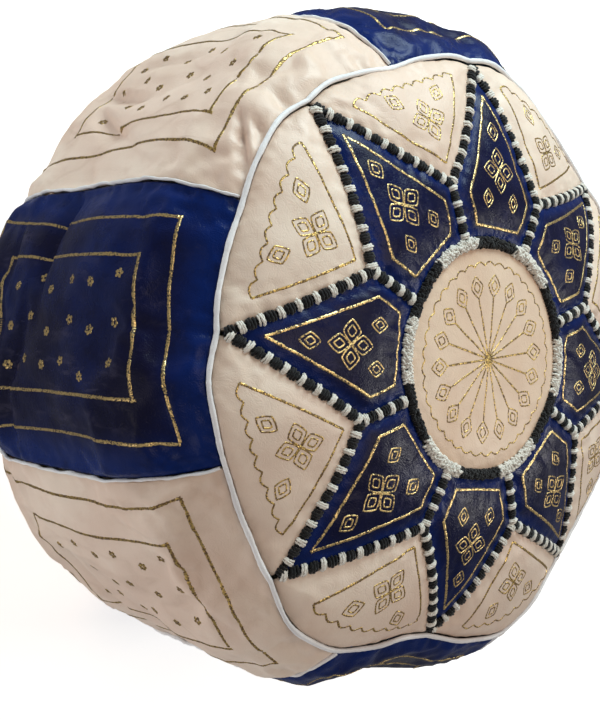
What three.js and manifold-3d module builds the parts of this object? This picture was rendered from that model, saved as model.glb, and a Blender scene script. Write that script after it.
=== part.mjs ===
// A round leather pouf with an eight-pointed star sewn into its top, standing on its base.
// Millimetres, +Z up, origin at the middle of the footprint, on the floor.
// The side panels are numbered anticlockwise seen from above, from the one that faces -Y.
import * as THREE from "three";
import { mergeVertices } from "three/addons/utils/BufferGeometryUtils.js";
import Module from "manifold-3d";

const wasm = await Module();
wasm.setup();

// ---------------------------------------------------------------- driving dimensions

const PANELS = 8; // side panels, star points and triangles between them
const FIRST_PANEL = -Math.PI / 2; // azimuth of the middle of panel 0

const TOP_SEAM_RADIUS = 225; // piping's centreline at a star tip
const TOP_SCALLOP = 8; // how far the piping bows out between two tips
const TOP_SEAM_HEIGHT = 303;
const CROWN = 39; // how far the top rises above its seam
const BASE_SEAM_RADIUS = 225;
const BASE_SEAM_HEIGHT = 18;
const BELLY = 50; // how far the side swells past its two seams
const BELLY_POWER = 3.7; // higher is flatter in the middle and tighter at the seams
const SEAM_DIP = 6; // how far each upright seam is pulled in

const LEATHER = 2;
const PIPING_RADIUS = 2.8;
const WELT_RADIUS = 1.2; // the thin folded strip in each upright seam
const CLEARANCE = 0.3; // between pieces that touch

const MEDALLION_RADIUS = 87.5;
const NOTCH_RADIUS = 136; // inner corner between two star points
const PATCH_GAP = 0.6; // between two leather patches of the star, under the braid
const BRAID_WIDTH = 9;
const BRAID_HEIGHT = 2.6;
const BRAID_SHOULDER = 0.4; // height of a braid's edge, as a share of its height in the middle
const BRAID_STEPS = 6; // along one side of a star point

const FOOT_INSET = 30; // from the base seam in to the flat ring that the pouf stands on
const DISH = 8; // how far the middle of the base stands off the floor
const DISH_SLOPE = 24; // width of the slope from the dish down to the flat ring

const ZIP_OPENING = 264;
const ZIP_SLOT = 18;
const DISH_MARGIN = 14; // flat leather past each end of the slot
const TAPE_OVERLAP = 8; // how far a tape runs under the leather, at its side and its ends
const TAPE_THICKNESS = 0.8;
const TOOTH_PITCH = 6;
const TOOTH_WIDTH = 1.9;
const TOOTH_LENGTH = 1.6;
const TOOTH_THICKNESS = 2.2;
const SPINE_WIDTH = 0.8; // the cord along a tape's edge that carries the teeth
const STOP_LENGTH = 5;

const SLIDER_LENGTH = 20;
const SLIDER_WALL = 1.5;
const SLIDER_NECK_LENGTH = 4;
const SLIDER_NECK_WIDTH = 1.2;
const EAR_LENGTH = 4.4;
const EAR_THICKNESS = 1.4;
const HINGE_BAR_RADIUS = 0.9;
const HINGE_CLEARANCE = 0.25;
const TAB_EYE_WALL = 0.8;
const TAB_ROOT_WIDTH = 5;
const TAB_ROOT_LENGTH = 4.5;
const TAB_SHOULDER = 3.5; // length over which the tab widens
const TAB_LENGTH = 26;
const TAB_WIDTH = 8;
const TAB_THICKNESS = 1.4;

const BAG_THICKNESS = 1; // calico insert bag
const BAG_EASE = 1; // between the leather and the bag
const BAG_MOUTH_LENGTH = 220; // the slit over the zip that the bag is filled through
const BAG_MOUTH_WIDTH = 20;

// ---------------------------------------------------------------- materials

const leather = (colour) =>
  new THREE.MeshStandardMaterial({ color: colour, roughness: 0.5, metalness: 0 });
const fabric = (colour) =>
  new THREE.MeshStandardMaterial({ color: colour, roughness: 0.9, metalness: 0 });
const brass = new THREE.MeshStandardMaterial({ color: 0xb08d4a, roughness: 0.35, metalness: 1 });
const creamLeather = leather(0xe4d3bf);
const blueLeather = leather(0x16255c);
const whiteLeather = leather(0xefe9e0);
const braidThread = fabric(0x8c8c88);
const tapeCloth = fabric(0xd8c8b0);
const calico = fabric(0xddd2bb);
const wadding = fabric(0xf0ede6);

// ---------------------------------------------------------------- the pouf's outer surface

const PANEL_ANGLE = (2 * Math.PI) / PANELS;
const INSIDE = new THREE.Vector3(0, 0, TOP_SEAM_HEIGHT / 2);

const lerp = THREE.MathUtils.lerp;
const onCircle = (radius, azimuth, height) =>
  new THREE.Vector3(radius * Math.cos(azimuth), radius * Math.sin(azimuth), height);

// 0 at a star tip, which is over the middle of a side panel, and 1 midway between two tips.
const betweenTips = (azimuth) => Math.abs(Math.sin((PANELS / 2) * (azimuth - FIRST_PANEL)));

const topSeamRadius = (azimuth) => TOP_SEAM_RADIUS + TOP_SCALLOP * betweenTips(azimuth);

// The top is flat under the medallion and falls away as a parabola to the seam.
function topPoint(azimuth, radius) {
  const past = Math.max(0, radius - MEDALLION_RADIUS);
  const share = past / (topSeamRadius(azimuth) - MEDALLION_RADIUS);
  return onCircle(radius, azimuth, TOP_SEAM_HEIGHT + CROWN * (1 - share * share));
}

// up runs from 0 at the base seam to 1 at the top seam.
function sidePoint(azimuth, up) {
  const swell = BELLY * (1 - Math.abs(2 * up - 1) ** BELLY_POWER);
  const turns = (azimuth - FIRST_PANEL) / PANEL_ANGLE;
  const across = 2 * Math.abs(turns - Math.round(turns));
  const dip = SEAM_DIP * across ** 4 * Math.sin(Math.PI * up);
  return onCircle(
    lerp(BASE_SEAM_RADIUS, topSeamRadius(azimuth), up) + swell - dip,
    azimuth,
    lerp(BASE_SEAM_HEIGHT, TOP_SEAM_HEIGHT, up),
  );
}

const dishRadius = ZIP_OPENING / 2 + DISH_MARGIN;
const footInner = dishRadius + DISH_SLOPE;
const footOuter = BASE_SEAM_RADIUS - FOOT_INSET;

// The base is dished in the middle, flat on the floor round it, and turns up to its seam.
function basePoint(azimuth, radius) {
  const slope = THREE.MathUtils.clamp((footInner - radius) / DISH_SLOPE, 0, 1);
  const rim = Math.max(0, radius - footOuter) / FOOT_INSET;
  return onCircle(radius, azimuth, DISH * slope + BASE_SEAM_HEIGHT * rim * rim);
}

// The unit normal that faces out of the pouf, at surface(u, v).
function outwardNormal(surface, u, v) {
  const step = 1e-4;
  const alongU = surface(u + step, v).sub(surface(u - step, v));
  const alongV = surface(u, v + step).sub(surface(u, v - step));
  const normal = alongU.cross(alongV).normalize();
  const out = surface(u, v).sub(INSIDE);
  return normal.dot(out) < 0 ? normal.negate() : normal;
}

// The same surface, moved out along its normal by height.
const raised = (surface, height) => (u, v) =>
  surface(u, v).addScaledVector(outwardNormal(surface, u, v), height);

// ---------------------------------------------------------------- solids

// A closed solid between two surfaces over a grid of us by vs.
function shell(us, vs, outer, inner) {
  const points = [];
  const at = (layer, i, j) => (layer * us.length + i) * vs.length + j;
  for (const surface of [outer, inner])
    for (const u of us) for (const v of vs) points.push(surface(u, v));
  const quads = [];
  const lastU = us.length - 1;
  const lastV = vs.length - 1;
  for (let i = 0; i < lastU; i++)
    for (let j = 0; j < lastV; j++) {
      quads.push([at(0, i, j), at(0, i + 1, j), at(0, i + 1, j + 1), at(0, i, j + 1)]);
      quads.push([at(1, i, j), at(1, i, j + 1), at(1, i + 1, j + 1), at(1, i + 1, j)]);
    }
  for (let i = 0; i < lastU; i++) {
    quads.push([at(1, i, 0), at(1, i + 1, 0), at(0, i + 1, 0), at(0, i, 0)]);
    quads.push([at(0, i, lastV), at(0, i + 1, lastV), at(1, i + 1, lastV), at(1, i, lastV)]);
  }
  for (let j = 0; j < lastV; j++) {
    quads.push([at(0, 0, j), at(0, 0, j + 1), at(1, 0, j + 1), at(1, 0, j)]);
    quads.push([at(1, lastU, j), at(1, lastU, j + 1), at(0, lastU, j + 1), at(0, lastU, j)]);
  }
  // The grid's winding faces out of the solid only if u, v and the outward side are right-handed.
  const [a, b, c] = [points[at(0, 0, 0)], points[at(0, 1, 0)], points[at(0, 0, 1)]];
  const out = a.clone().sub(points[at(1, 0, 0)]);
  const rightHanded = b.clone().sub(a).cross(c.clone().sub(a)).dot(out) > 0;
  const triangles = quads.flatMap(([p, q, r, s]) => [p, q, r, p, r, s]);
  if (!rightHanded) triangles.reverse();
  return new THREE.BufferGeometry().setFromPoints(points).setIndex(triangles);
}

const leatherShell = (us, vs, surface) => shell(us, vs, surface, raised(surface, -LEATHER));

const spread = (from, to, steps) =>
  Array.from({ length: steps + 1 }, (_, i) => lerp(from, to, i / steps));

function solidOf(geometry) {
  const bare = geometry.index ? geometry.toNonIndexed() : geometry.clone();
  bare.deleteAttribute("normal");
  bare.deleteAttribute("uv");
  const merged = mergeVertices(bare, 1e-4);
  const vertProperties = merged.attributes.position.array;
  const triVerts = new Uint32Array(merged.index.array);
  return new wasm.Manifold(new wasm.Mesh({ numProp: 3, vertProperties, triVerts }));
}

function geometryOf(solid) {
  const { vertProperties, triVerts } = solid.getMesh();
  const position = new THREE.BufferAttribute(vertProperties, 3);
  return new THREE.BufferGeometry()
    .setAttribute("position", position)
    .setIndex(new THREE.BufferAttribute(triVerts, 1));
}

const box = (x, y, z) => new THREE.BoxGeometry(x, y, z);

// A bar or a bore along Y.
const rod = (radius, length) => new THREE.CylinderGeometry(radius, radius, length, 16);

// A flat plate of the given thickness, centred on z = 0, whose outline is a list of [x, y] corners.
function plate(corners, thickness) {
  const outline = new THREE.Shape(corners.map(([x, y]) => new THREE.Vector2(x, y)));
  return new THREE.ExtrudeGeometry(outline, { depth: thickness, bevelEnabled: false })
    .translate(0, 0, -thickness / 2);
}

// A solid of revolution about Z whose [radius, height] profile runs anticlockwise.
const turned = (profile, segments) =>
  new THREE.LatheGeometry(profile.map(([r, z]) => new THREE.Vector2(r, z)), segments)
    .rotateX(Math.PI / 2);

// Profile points of a surface at azimuth, one for each value of v.
const profileOf = (surface, azimuth, vs) =>
  vs.map((v) => {
    const { x, y, z } = surface(azimuth, v);
    return [Math.hypot(x, y), z];
  });

const pouf = new THREE.Group();

function add(name, geometry, material, parent = pouf) {
  const mesh = new THREE.Mesh(geometry, material);
  mesh.name = name;
  parent.add(mesh);
  return mesh;
}

// ---------------------------------------------------------------- star top

const halfPoint = PANEL_ANGLE / 2;
const STAR_ROWS = 4; // of facets, from the medallion to a star tip
const tipRadius = TOP_SEAM_RADIUS - PIPING_RADIUS - CLEARANCE;

// Plan radius of the straight seam from a star tip, at angle 0, to a notch, at angle halfPoint.
function starEdge(fromTip) {
  const across = tipRadius * NOTCH_RADIUS * Math.sin(halfPoint);
  return (
    across / (tipRadius * Math.sin(fromTip) + NOTCH_RADIUS * Math.sin(halfPoint - fromTip))
  );
}

// Half the patch gap, measured along the radius, where a seam leaves the tip at this slant.
const tipToNotch = Math.hypot(
  tipRadius - NOTCH_RADIUS * Math.cos(halfPoint),
  NOTCH_RADIUS * Math.sin(halfPoint),
);
const edgeSlant = Math.asin((NOTCH_RADIUS * Math.sin(halfPoint)) / tipToNotch);
const edgeInset = PATCH_GAP / 2 / Math.sin(edgeSlant);

function medallion() {
  const radius = MEDALLION_RADIUS - PATCH_GAP / 2;
  return new THREE.CylinderGeometry(radius, radius, LEATHER, 40)
    .rotateX(Math.PI / 2)
    .translate(0, 0, TOP_SEAM_HEIGHT + CROWN - LEATHER / 2);
}

// The half-round band of embroidery over the medallion's edge.
function medallionRing() {
  const foot = TOP_SEAM_HEIGHT + CROWN + CLEARANCE;
  const half = BRAID_WIDTH / 2;
  const section = [
    [-half, 0],
    [half, 0],
    [half, BRAID_SHOULDER * BRAID_HEIGHT],
    [0, BRAID_HEIGHT],
    [-half, BRAID_SHOULDER * BRAID_HEIGHT],
    [-half, 0],
  ].map(([across, up]) => [MEDALLION_RADIUS + across, foot + up]);
  return turned(section, 40);
}

function starPoint(middle) {
  const reach = halfPoint - PATCH_GAP / 2 / MEDALLION_RADIUS;
  const surface = (angle, share) => {
    const edge = starEdge(Math.abs(angle - middle)) - edgeInset;
    return topPoint(angle, lerp(MEDALLION_RADIUS + PATCH_GAP / 2, edge, share));
  };
  const across = spread(middle - reach, middle + reach, 6);
  return leatherShell(across, spread(0, 1, STAR_ROWS), surface);
}

function starTriangle(middle) {
  const reach = halfPoint - THREE.MathUtils.degToRad(0.5);
  const surface = (angle, share) => {
    const fromTip = halfPoint - Math.abs(angle - middle);
    const rim = topSeamRadius(angle) - PIPING_RADIUS - CLEARANCE;
    return topPoint(angle, lerp(starEdge(fromTip) + edgeInset, rim, share));
  };
  return leatherShell(spread(middle - reach, middle + reach, 8), spread(0, 1, 3), surface);
}

// One run of embroidery: out along the seam beside a star point, up one side of it to the tip
// and down the other, stopping beside the next run.
function starBraid(middle) {
  const plan = (radius, angle) =>
    new THREE.Vector2(radius * Math.cos(angle), radius * Math.sin(angle));
  const start = plan(MEDALLION_RADIUS + BRAID_WIDTH / 2 + CLEARANCE, middle - halfPoint);
  const notch = plan(NOTCH_RADIUS, middle - halfPoint);
  const tip = plan(tipRadius - BRAID_WIDTH / 2, middle);
  const nextNotch = plan(NOTCH_RADIUS, middle + halfPoint);
  const turn = halfPoint + edgeSlant;
  const cut = ((BRAID_WIDTH / 2) * Math.sin(1.5 * turn)) / Math.cos(turn / 2) + 2 * CLEARANCE;
  const end = nextNotch.clone().lerp(tip, cut / nextNotch.distanceTo(tip));
  const corners = [start, notch, tip, end];
  const steps = [2, BRAID_STEPS, BRAID_STEPS];
  const stations = [];
  corners.forEach((corner, leg) => {
    const next = corners[leg + 1];
    const before = leg > 0 && corner.clone().sub(corners[leg - 1]).normalize();
    const after = next && next.clone().sub(corner).normalize();
    const along = (before || after).clone().add(after || before).normalize();
    const side = new THREE.Vector2(-along.y, along.x);
    const stretch = (after || before).clone().dot(along);
    stations.push({ at: corner, side: side.divideScalar(stretch) });
    for (let i = 1; next && i < steps[leg]; i++)
      stations.push({
        at: corner.clone().lerp(next, i / steps[leg]),
        side: new THREE.Vector2(-after.y, after.x),
      });
  });
  const limit = tipRadius - CLEARANCE;
  // height is above the leather: u is a station's number and v runs across, from -1 to 1.
  const layer = (height) => (u, v) => {
    const { at, side } = stations[u];
    const point = at.clone().addScaledVector(side, (v * BRAID_WIDTH) / 2);
    const lift = raised(topPoint, height(v));
    return lift(Math.atan2(point.y, point.x), Math.min(point.length(), limit));
  };
  const crown = layer((v) => CLEARANCE + BRAID_HEIGHT * lerp(1, BRAID_SHOULDER, v * v));
  return shell([...stations.keys()], [-1, 0, 1], crown, layer(() => CLEARANCE));
}

add("medallion", medallion(), creamLeather);
add("medallion_ring_braid", medallionRing(), braidThread);
for (let k = 0; k < PANELS; k++) {
  const middle = FIRST_PANEL + k * PANEL_ANGLE;
  add(`star_point_${k}`, starPoint(middle), blueLeather);
  add(`star_triangle_${k}`, starTriangle(middle + halfPoint), creamLeather);
  add(`star_braid_${k}`, starBraid(middle), braidThread);
}

// ---------------------------------------------------------------- side

// How far up the side its leather is clear of the piping, going a small step in from a seam.
function clearOfPiping(seam, step) {
  const rise = sidePoint(FIRST_PANEL, seam + step).distanceTo(sidePoint(FIRST_PANEL, seam));
  return seam + (step * (PIPING_RADIUS + 2 * CLEARANCE)) / rise;
}

const sideFoot = clearOfPiping(0, 0.01);
const sideHead = clearOfPiping(1, -0.01);
const SIDE_COLUMNS = 6;
const SIDE_ROWS = [0.07, 0.2, 0.4, 0.6, 0.8, 0.93];

function sidePanel(middle) {
  const reach = halfPoint - (WELT_RADIUS + CLEARANCE) / BASE_SEAM_RADIUS;
  const rows = [sideFoot, ...SIDE_ROWS, sideHead];
  return leatherShell(spread(middle - reach, middle + reach, SIDE_COLUMNS), rows, sidePoint);
}

function seamWelt(azimuth) {
  const inset = WELT_RADIUS / (TOP_SEAM_HEIGHT - BASE_SEAM_HEIGHT);
  const rows = [sideFoot + inset, ...SIDE_ROWS, sideHead - inset];
  const path = new THREE.CatmullRomCurve3(rows.map((up) => sidePoint(azimuth, up)));
  const section = new THREE.Shape().absarc(0, 0, WELT_RADIUS, 0, 2 * Math.PI);
  return new THREE.ExtrudeGeometry(section, { extrudePath: path, steps: 9, curveSegments: 3 });
}

// A ring of piping whose centreline is at seamRadius(azimuth).
function piping(seamRadius, height) {
  const ring = new THREE.TorusGeometry(TOP_SEAM_RADIUS, PIPING_RADIUS, 6, 72);
  const position = ring.attributes.position;
  for (let i = 0; i < position.count; i++) {
    const azimuth = Math.atan2(position.getY(i), position.getX(i));
    const across = Math.hypot(position.getX(i), position.getY(i)) - TOP_SEAM_RADIUS;
    const point = onCircle(seamRadius(azimuth) + across, azimuth, height + position.getZ(i));
    position.setXYZ(i, point.x, point.y, point.z);
  }
  return ring;
}

add("top_piping", piping(topSeamRadius, TOP_SEAM_HEIGHT), whiteLeather);
add("base_piping", piping(() => BASE_SEAM_RADIUS, BASE_SEAM_HEIGHT), whiteLeather);
for (let k = 0; k < PANELS; k++) {
  const middle = FIRST_PANEL + k * PANEL_ANGLE;
  add(`side_panel_${k}`, sidePanel(middle), k % 2 ? creamLeather : blueLeather);
  add(`side_seam_welt_${k}`, seamWelt(middle + halfPoint), whiteLeather);
}

// ---------------------------------------------------------------- base

const CENTRE_HOLE = ZIP_SLOT / 4; // lies inside the zip's slot
const rimSlope = (2 * BASE_SEAM_HEIGHT) / FOOT_INSET;
const baseRim = BASE_SEAM_RADIUS - (PIPING_RADIUS + CLEARANCE) / Math.hypot(1, rimSlope);

// The whole base, less its slot: two half discs with a gap between them.
function baseHalf(side) {
  const rim = spread(footOuter, baseRim, 3);
  const radii = [CENTRE_HOLE, dishRadius, footInner, ...rim];
  const under = profileOf(basePoint, 0, radii);
  const inside = profileOf(raised(basePoint, -LEATHER), 0, radii).reverse();
  const disc = solidOf(turned([...under, ...inside, under[0]], 48));
  const width = 2 * BASE_SEAM_RADIUS;
  const slot = solidOf(box(ZIP_OPENING, ZIP_SLOT, width));
  const middle = (side * (PATCH_GAP - width)) / 2;
  const otherHalf = solidOf(box(width, width, width).translate(0, middle, 0));
  return geometryOf(disc.subtract(otherHalf).subtract(slot));
}

add("base_half_front", baseHalf(-1), creamLeather);
add("base_half_back", baseHalf(1), creamLeather);

// ---------------------------------------------------------------- zip

const toothTip = SLIDER_NECK_WIDTH / 2 + CLEARANCE;
const spineInner = toothTip + TOOTH_LENGTH;
const spineOuter = spineInner + SPINE_WIDTH;
const tapeInner = spineOuter + CLEARANCE;
const tapeOuter = ZIP_SLOT / 2 + TAPE_OVERLAP;
const stopInner = ZIP_OPENING / 2 - STOP_LENGTH;
const chainEnd = stopInner - CLEARANCE;
const sliderRest = chainEnd - CLEARANCE - SLIDER_LENGTH / 2;

const channelHeight = TOOTH_THICKNESS + 2 * CLEARANCE;
const sliderHeight = channelHeight + 2 * SLIDER_WALL;
const sliderWidth = 2 * (tapeInner + SLIDER_WALL);
const boreRadius = HINGE_BAR_RADIUS + HINGE_CLEARANCE;
const eyeRadius = boreRadius + TAB_EYE_WALL;
const hingeDrop = sliderHeight / 2 + eyeRadius + 2 * HINGE_CLEARANCE;
const earGap = TAB_ROOT_WIDTH + 2 * CLEARANCE;

function zipTape(side) {
  const length = ZIP_OPENING + 2 * TAPE_OVERLAP;
  const middle = (side * (tapeInner + tapeOuter)) / 2;
  return box(length, tapeOuter - tapeInner, TAPE_THICKNESS).translate(0, middle, 0);
}

// One row of teeth, standing from its spine towards the middle of the chain. The back row
// is half a pitch along from the front row.
function toothRow(side) {
  const fits = Math.floor((2 * chainEnd - TOOTH_WIDTH) / TOOTH_PITCH);
  const teeth = fits + (side < 0 ? 1 : 0);
  const corners = [
    [-chainEnd, spineInner],
    [-chainEnd, spineOuter],
    [chainEnd, spineOuter],
    [chainEnd, spineInner],
  ];
  for (let i = teeth - 1; i >= 0; i--) {
    const x = (i - (teeth - 1) / 2) * TOOTH_PITCH;
    const [from, to] = [x + TOOTH_WIDTH / 2, x - TOOTH_WIDTH / 2];
    corners.push([from, spineInner], [from, toothTip], [to, toothTip], [to, spineInner]);
  }
  return plate(corners.map(([x, y]) => [x, side * y]), TOOTH_THICKNESS);
}

const zipStop = (side) =>
  box(STOP_LENGTH, 2 * spineOuter, TOOTH_THICKNESS)
    .translate(side * (stopInner + STOP_LENGTH / 2), 0, 0);

// Two plates joined by the neck that runs between the rows, with a slit each side for a tape,
// and two ears under it that hold the bar of the pull tab.
function zipSlider() {
  const beyond = 1;
  const body = solidOf(box(SLIDER_LENGTH, sliderWidth, sliderHeight));
  const channel = solidOf(box(SLIDER_LENGTH + beyond, 2 * tapeInner, channelHeight));
  const slitHeight = TAPE_THICKNESS + 2 * CLEARANCE;
  const slits = solidOf(box(SLIDER_LENGTH + beyond, sliderWidth + beyond, slitHeight));
  const neckX = (SLIDER_LENGTH - SLIDER_NECK_LENGTH) / 2;
  const neck = box(SLIDER_NECK_LENGTH, SLIDER_NECK_WIDTH, sliderHeight).translate(neckX, 0, 0);
  let slider = body.subtract(channel).subtract(slits).add(solidOf(neck));
  const earHeight = hingeDrop + eyeRadius - (sliderHeight - SLIDER_WALL) / 2;
  const earZ = -(hingeDrop + eyeRadius) + earHeight / 2;
  for (const side of [-1, 1]) {
    const earY = (side * (earGap + EAR_THICKNESS)) / 2;
    const ear = box(EAR_LENGTH, EAR_THICKNESS, earHeight).translate(0, earY, earZ);
    slider = slider.add(solidOf(ear));
  }
  const bar = rod(HINGE_BAR_RADIUS, earGap + EAR_THICKNESS).translate(0, 0, -hingeDrop);
  return geometryOf(slider.add(solidOf(bar)));
}

// The tab lies along -X from the eye that turns on the slider's bar.
function pullTab() {
  const half = TAB_WIDTH / 2;
  const root = TAB_ROOT_WIDTH / 2;
  const outline = [
    [0, -root],
    [0, root],
    [-TAB_ROOT_LENGTH, root],
    [-TAB_ROOT_LENGTH - TAB_SHOULDER, half],
  ];
  for (const angle of spread(Math.PI / 2, (3 * Math.PI) / 2, 6))
    outline.push([half - TAB_LENGTH + half * Math.cos(angle), half * Math.sin(angle)]);
  outline.push([-TAB_ROOT_LENGTH - TAB_SHOULDER, -half], [-TAB_ROOT_LENGTH, -root]);
  const blade = solidOf(plate(outline, TAB_THICKNESS));
  const eye = solidOf(rod(eyeRadius, TAB_ROOT_WIDTH));
  const bore = solidOf(rod(boreRadius, TAB_ROOT_WIDTH + 1));
  return geometryOf(blade.add(eye).subtract(bore));
}

const zip = new THREE.Group();
zip.position.z = DISH + LEATHER + CLEARANCE + TAPE_THICKNESS / 2;
pouf.add(zip);
for (const [side, label] of [[-1, "front"], [1, "back"]]) {
  add(`zip_tape_${label}`, zipTape(side), tapeCloth, zip);
  add(`zip_teeth_${label}`, toothRow(side), brass, zip);
}
add("zip_stop_open", zipStop(-1), brass, zip);
add("zip_stop_closed", zipStop(1), brass, zip);

const slider = add("zip_slider", zipSlider(), brass, zip);
slider.position.x = sliderRest;
const tab = add("zip_pull_tab", pullTab(), brass, slider);
tab.position.z = -hingeDrop;

// ---------------------------------------------------------------- filling

// The profile of what lies at the given depth under the leather's inner face, where the side
// and the top are furthest in, which is at the upright seams or the star tips. It stays above
// the zip, and its corners are clear of the piping.
function fillingProfile(depth) {
  const seam = FIRST_PANEL + halfPoint;
  const tip = FIRST_PANEL;
  const sideFacet = (BASE_SEAM_RADIUS + BELLY) * (1 - Math.cos(PANEL_ANGLE / (2 * SIDE_COLUMNS)));
  const topFacet = sideFacet + CROWN / (2 * STAR_ROWS) ** 2;
  const inwards = (surface, facet) => raised(surface, -(LEATHER + facet + depth));
  const zipRoof = zip.position.z + sliderHeight / 2 + depth;
  const crown = TOP_SEAM_HEIGHT + CROWN - LEATHER - depth;
  const rim = [footInner + zipRoof, footOuter + FOOT_INSET / 2];
  const side = SIDE_ROWS.map((up) => {
    const [atSeam] = profileOf(inwards(sidePoint, sideFacet), seam, [up]);
    const [atTip] = profileOf(inwards(sidePoint, sideFacet), tip, [up]);
    return atSeam[0] < atTip[0] ? atSeam : atTip;
  });
  const top = spread(0.9 * TOP_SEAM_RADIUS, MEDALLION_RADIUS, 3);
  return [
    [0, zipRoof],
    [dishRadius, zipRoof],
    ...profileOf(inwards(basePoint, sideFacet), seam, rim),
    ...side,
    ...profileOf(inwards(topPoint, topFacet), tip, top),
    [0, crown - topFacet],
  ];
}

function insertBag() {
  const outer = fillingProfile(BAG_EASE);
  const inner = fillingProfile(BAG_EASE + BAG_THICKNESS).reverse();
  const bag = solidOf(turned([...outer, ...inner], 24));
  const mouth = box(BAG_MOUTH_LENGTH, BAG_MOUTH_WIDTH, TOP_SEAM_HEIGHT);
  return geometryOf(bag.subtract(solidOf(mouth)));
}

add("insert_bag", insertBag(), calico);
const stuffing = fillingProfile(BAG_EASE + BAG_THICKNESS + CLEARANCE);
add("filling", turned(stuffing, 24), wadding);

export default pouf;
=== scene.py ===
import math

import bpy
import numpy as np
from mathutils import Matrix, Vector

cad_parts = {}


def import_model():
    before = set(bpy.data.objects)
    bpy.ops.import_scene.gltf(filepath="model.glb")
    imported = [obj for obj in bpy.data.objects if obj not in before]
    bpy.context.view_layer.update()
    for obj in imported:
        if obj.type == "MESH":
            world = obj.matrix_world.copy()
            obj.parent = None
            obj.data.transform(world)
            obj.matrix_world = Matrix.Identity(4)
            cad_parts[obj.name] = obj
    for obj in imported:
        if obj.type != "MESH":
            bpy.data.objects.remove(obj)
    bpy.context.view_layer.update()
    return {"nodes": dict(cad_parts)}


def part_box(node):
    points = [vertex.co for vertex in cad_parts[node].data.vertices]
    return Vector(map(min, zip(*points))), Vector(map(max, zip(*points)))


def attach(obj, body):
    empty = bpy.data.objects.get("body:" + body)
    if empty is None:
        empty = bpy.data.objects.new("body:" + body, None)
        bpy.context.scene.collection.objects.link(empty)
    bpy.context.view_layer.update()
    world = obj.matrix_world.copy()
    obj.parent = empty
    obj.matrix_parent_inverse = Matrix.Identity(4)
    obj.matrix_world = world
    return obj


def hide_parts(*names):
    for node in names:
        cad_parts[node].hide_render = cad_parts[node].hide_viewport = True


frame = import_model()

# ---------------------------------------------------------------- sizes

MM = 0.001
TURN = 2 * math.pi
PANELS = 8
PANEL_ANGLE = TURN / PANELS
HALF = PANEL_ANGLE / 2
FIRST = -TURN / 4  # azimuth of star tip 0 and of the middle of side panel 0
BODY = "pouf"


def low(node):
    return np.array(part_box(node)[0])


def high(node):
    return np.array(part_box(node)[1])


PIPING = 2.1 * MM
LEATHER = 1.8 * MM
RING = high("base_piping")[0] - 2.8 * MM  # piping's centreline over a tip
TIP = RING - PIPING - 1.6 * MM  # radius of a star tip
RING_BOW = 8 * MM  # how far the piping bows out between two tips
RING_Z = (low("top_piping")[2] + high("top_piping")[2]) / 2
CROWN = high("medallion")[2] - RING_Z
MEDALLION = high("medallion")[0] + 0.3 * MM
NOTCH = high("star_point_0")[0] / math.sin(HALF)  # radius of the corner between two points
BASE_R = RING
BASE_Z = (low("base_piping")[2] + high("base_piping")[2]) / 2
BELLY = -low("side_panel_0")[1] - BASE_R
BELLY_POWER = 3.7  # a higher one makes the side straighter between its rims
SEAM_DIP = 6 * MM  # how far an upright seam is pulled in, half-way up
FOOT = BASE_R - 30 * MM  # outer radius of the flat ring that the pouf stands on
BAND = 9 * MM  # width of the embroidery


def polar(radius, azimuth):
    return radius * np.cos(azimuth), radius * np.sin(azimuth)


def ripple(points, length, seed, waves=10):
    """Smooth random relief, about -1 to 1, whose bumps are about length across."""
    draw = np.random.default_rng(seed)
    total = np.zeros(points.shape[:-1])
    for _ in range(waves):
        way = draw.normal(size=3)
        way *= TURN / (length * draw.uniform(0.75, 1.5) * np.linalg.norm(way))
        total += np.sin(points @ way + draw.uniform(0, TURN))
    return total / math.sqrt(waves)


def rise(distance, reach):
    """0 at a seam and nearly 1 a few times reach away from it."""
    return 1 - np.exp(-np.maximum(distance, 0) / reach)


def unit(vectors):
    return vectors / np.maximum(np.linalg.norm(vectors, axis=-1, keepdims=True), 1e-12)


# ---------------------------------------------------------------- the skin of the pouf


def from_tip(azimuth):
    """Angle from the nearest star tip, 0 to HALF."""
    return np.abs((azimuth - FIRST + HALF) % PANEL_ANGLE - HALF)


def ring_radius(azimuth):
    """Plan radius of the top piping, before RIM_PUSH."""
    bow = RING_BOW * np.abs(np.sin(PANELS / 2 * (azimuth - FIRST)))
    waver = 0.5 * np.sin(17 * azimuth + 0.6) + 0.4 * np.sin(31 * azimuth + 2.1)
    return RING + bow + waver * MM


def ring_height(azimuth):
    """Height of the top piping."""
    waver = 0.7 * np.sin(9 * azimuth + 1.3) + 0.4 * np.sin(23 * azimuth)
    return RING_Z + waver * MM


# How far the stuffing pushes the rim out, in mm, over each star tip and midway to the next.
RIM_PUSH = (2.5, -5, 7, 3, -11, 6, 3, 2, 0, 0, 3, -5, 6, -10, 8, -1)
# The same for the belly.
BELLY_PUSH = (0, 2, -5, -5, -9, -8, -8, -6, -4, -6, -9, -9, -7, 4, -6, -7)


def pushed(azimuth, pushes):
    """A smooth line through pushes, evenly spaced round the pouf from tip 0, as a share of RING."""
    count = len(pushes)
    waves = np.fft.rfft(pushes) / count
    total = np.full(np.shape(azimuth), waves[0].real)
    for number in range(1, count // 2 + 1):
        twice = 1 if number * 2 == count else 2
        turn = number * (azimuth - FIRST)
        total = total + twice * (waves[number].real * np.cos(turn) - waves[number].imag * np.sin(turn))
    return total * MM / RING


def smooth_top(x, y):
    """The top before stuffing shows between its seams, over plan points."""
    radius, azimuth = np.hypot(x, y), np.arctan2(y, x)
    past = np.maximum(0, radius - MEDALLION)
    share = past / (ring_radius(azimuth) - MEDALLION)
    rim = CROWN + (ring_height(azimuth) - RING_Z) * share
    push = 1 + pushed(azimuth, RIM_PUSH) * (radius / ring_radius(azimuth)) ** 3
    return np.stack([x * push, y * push, RING_Z + rim - CROWN * share**2], -1)


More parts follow.
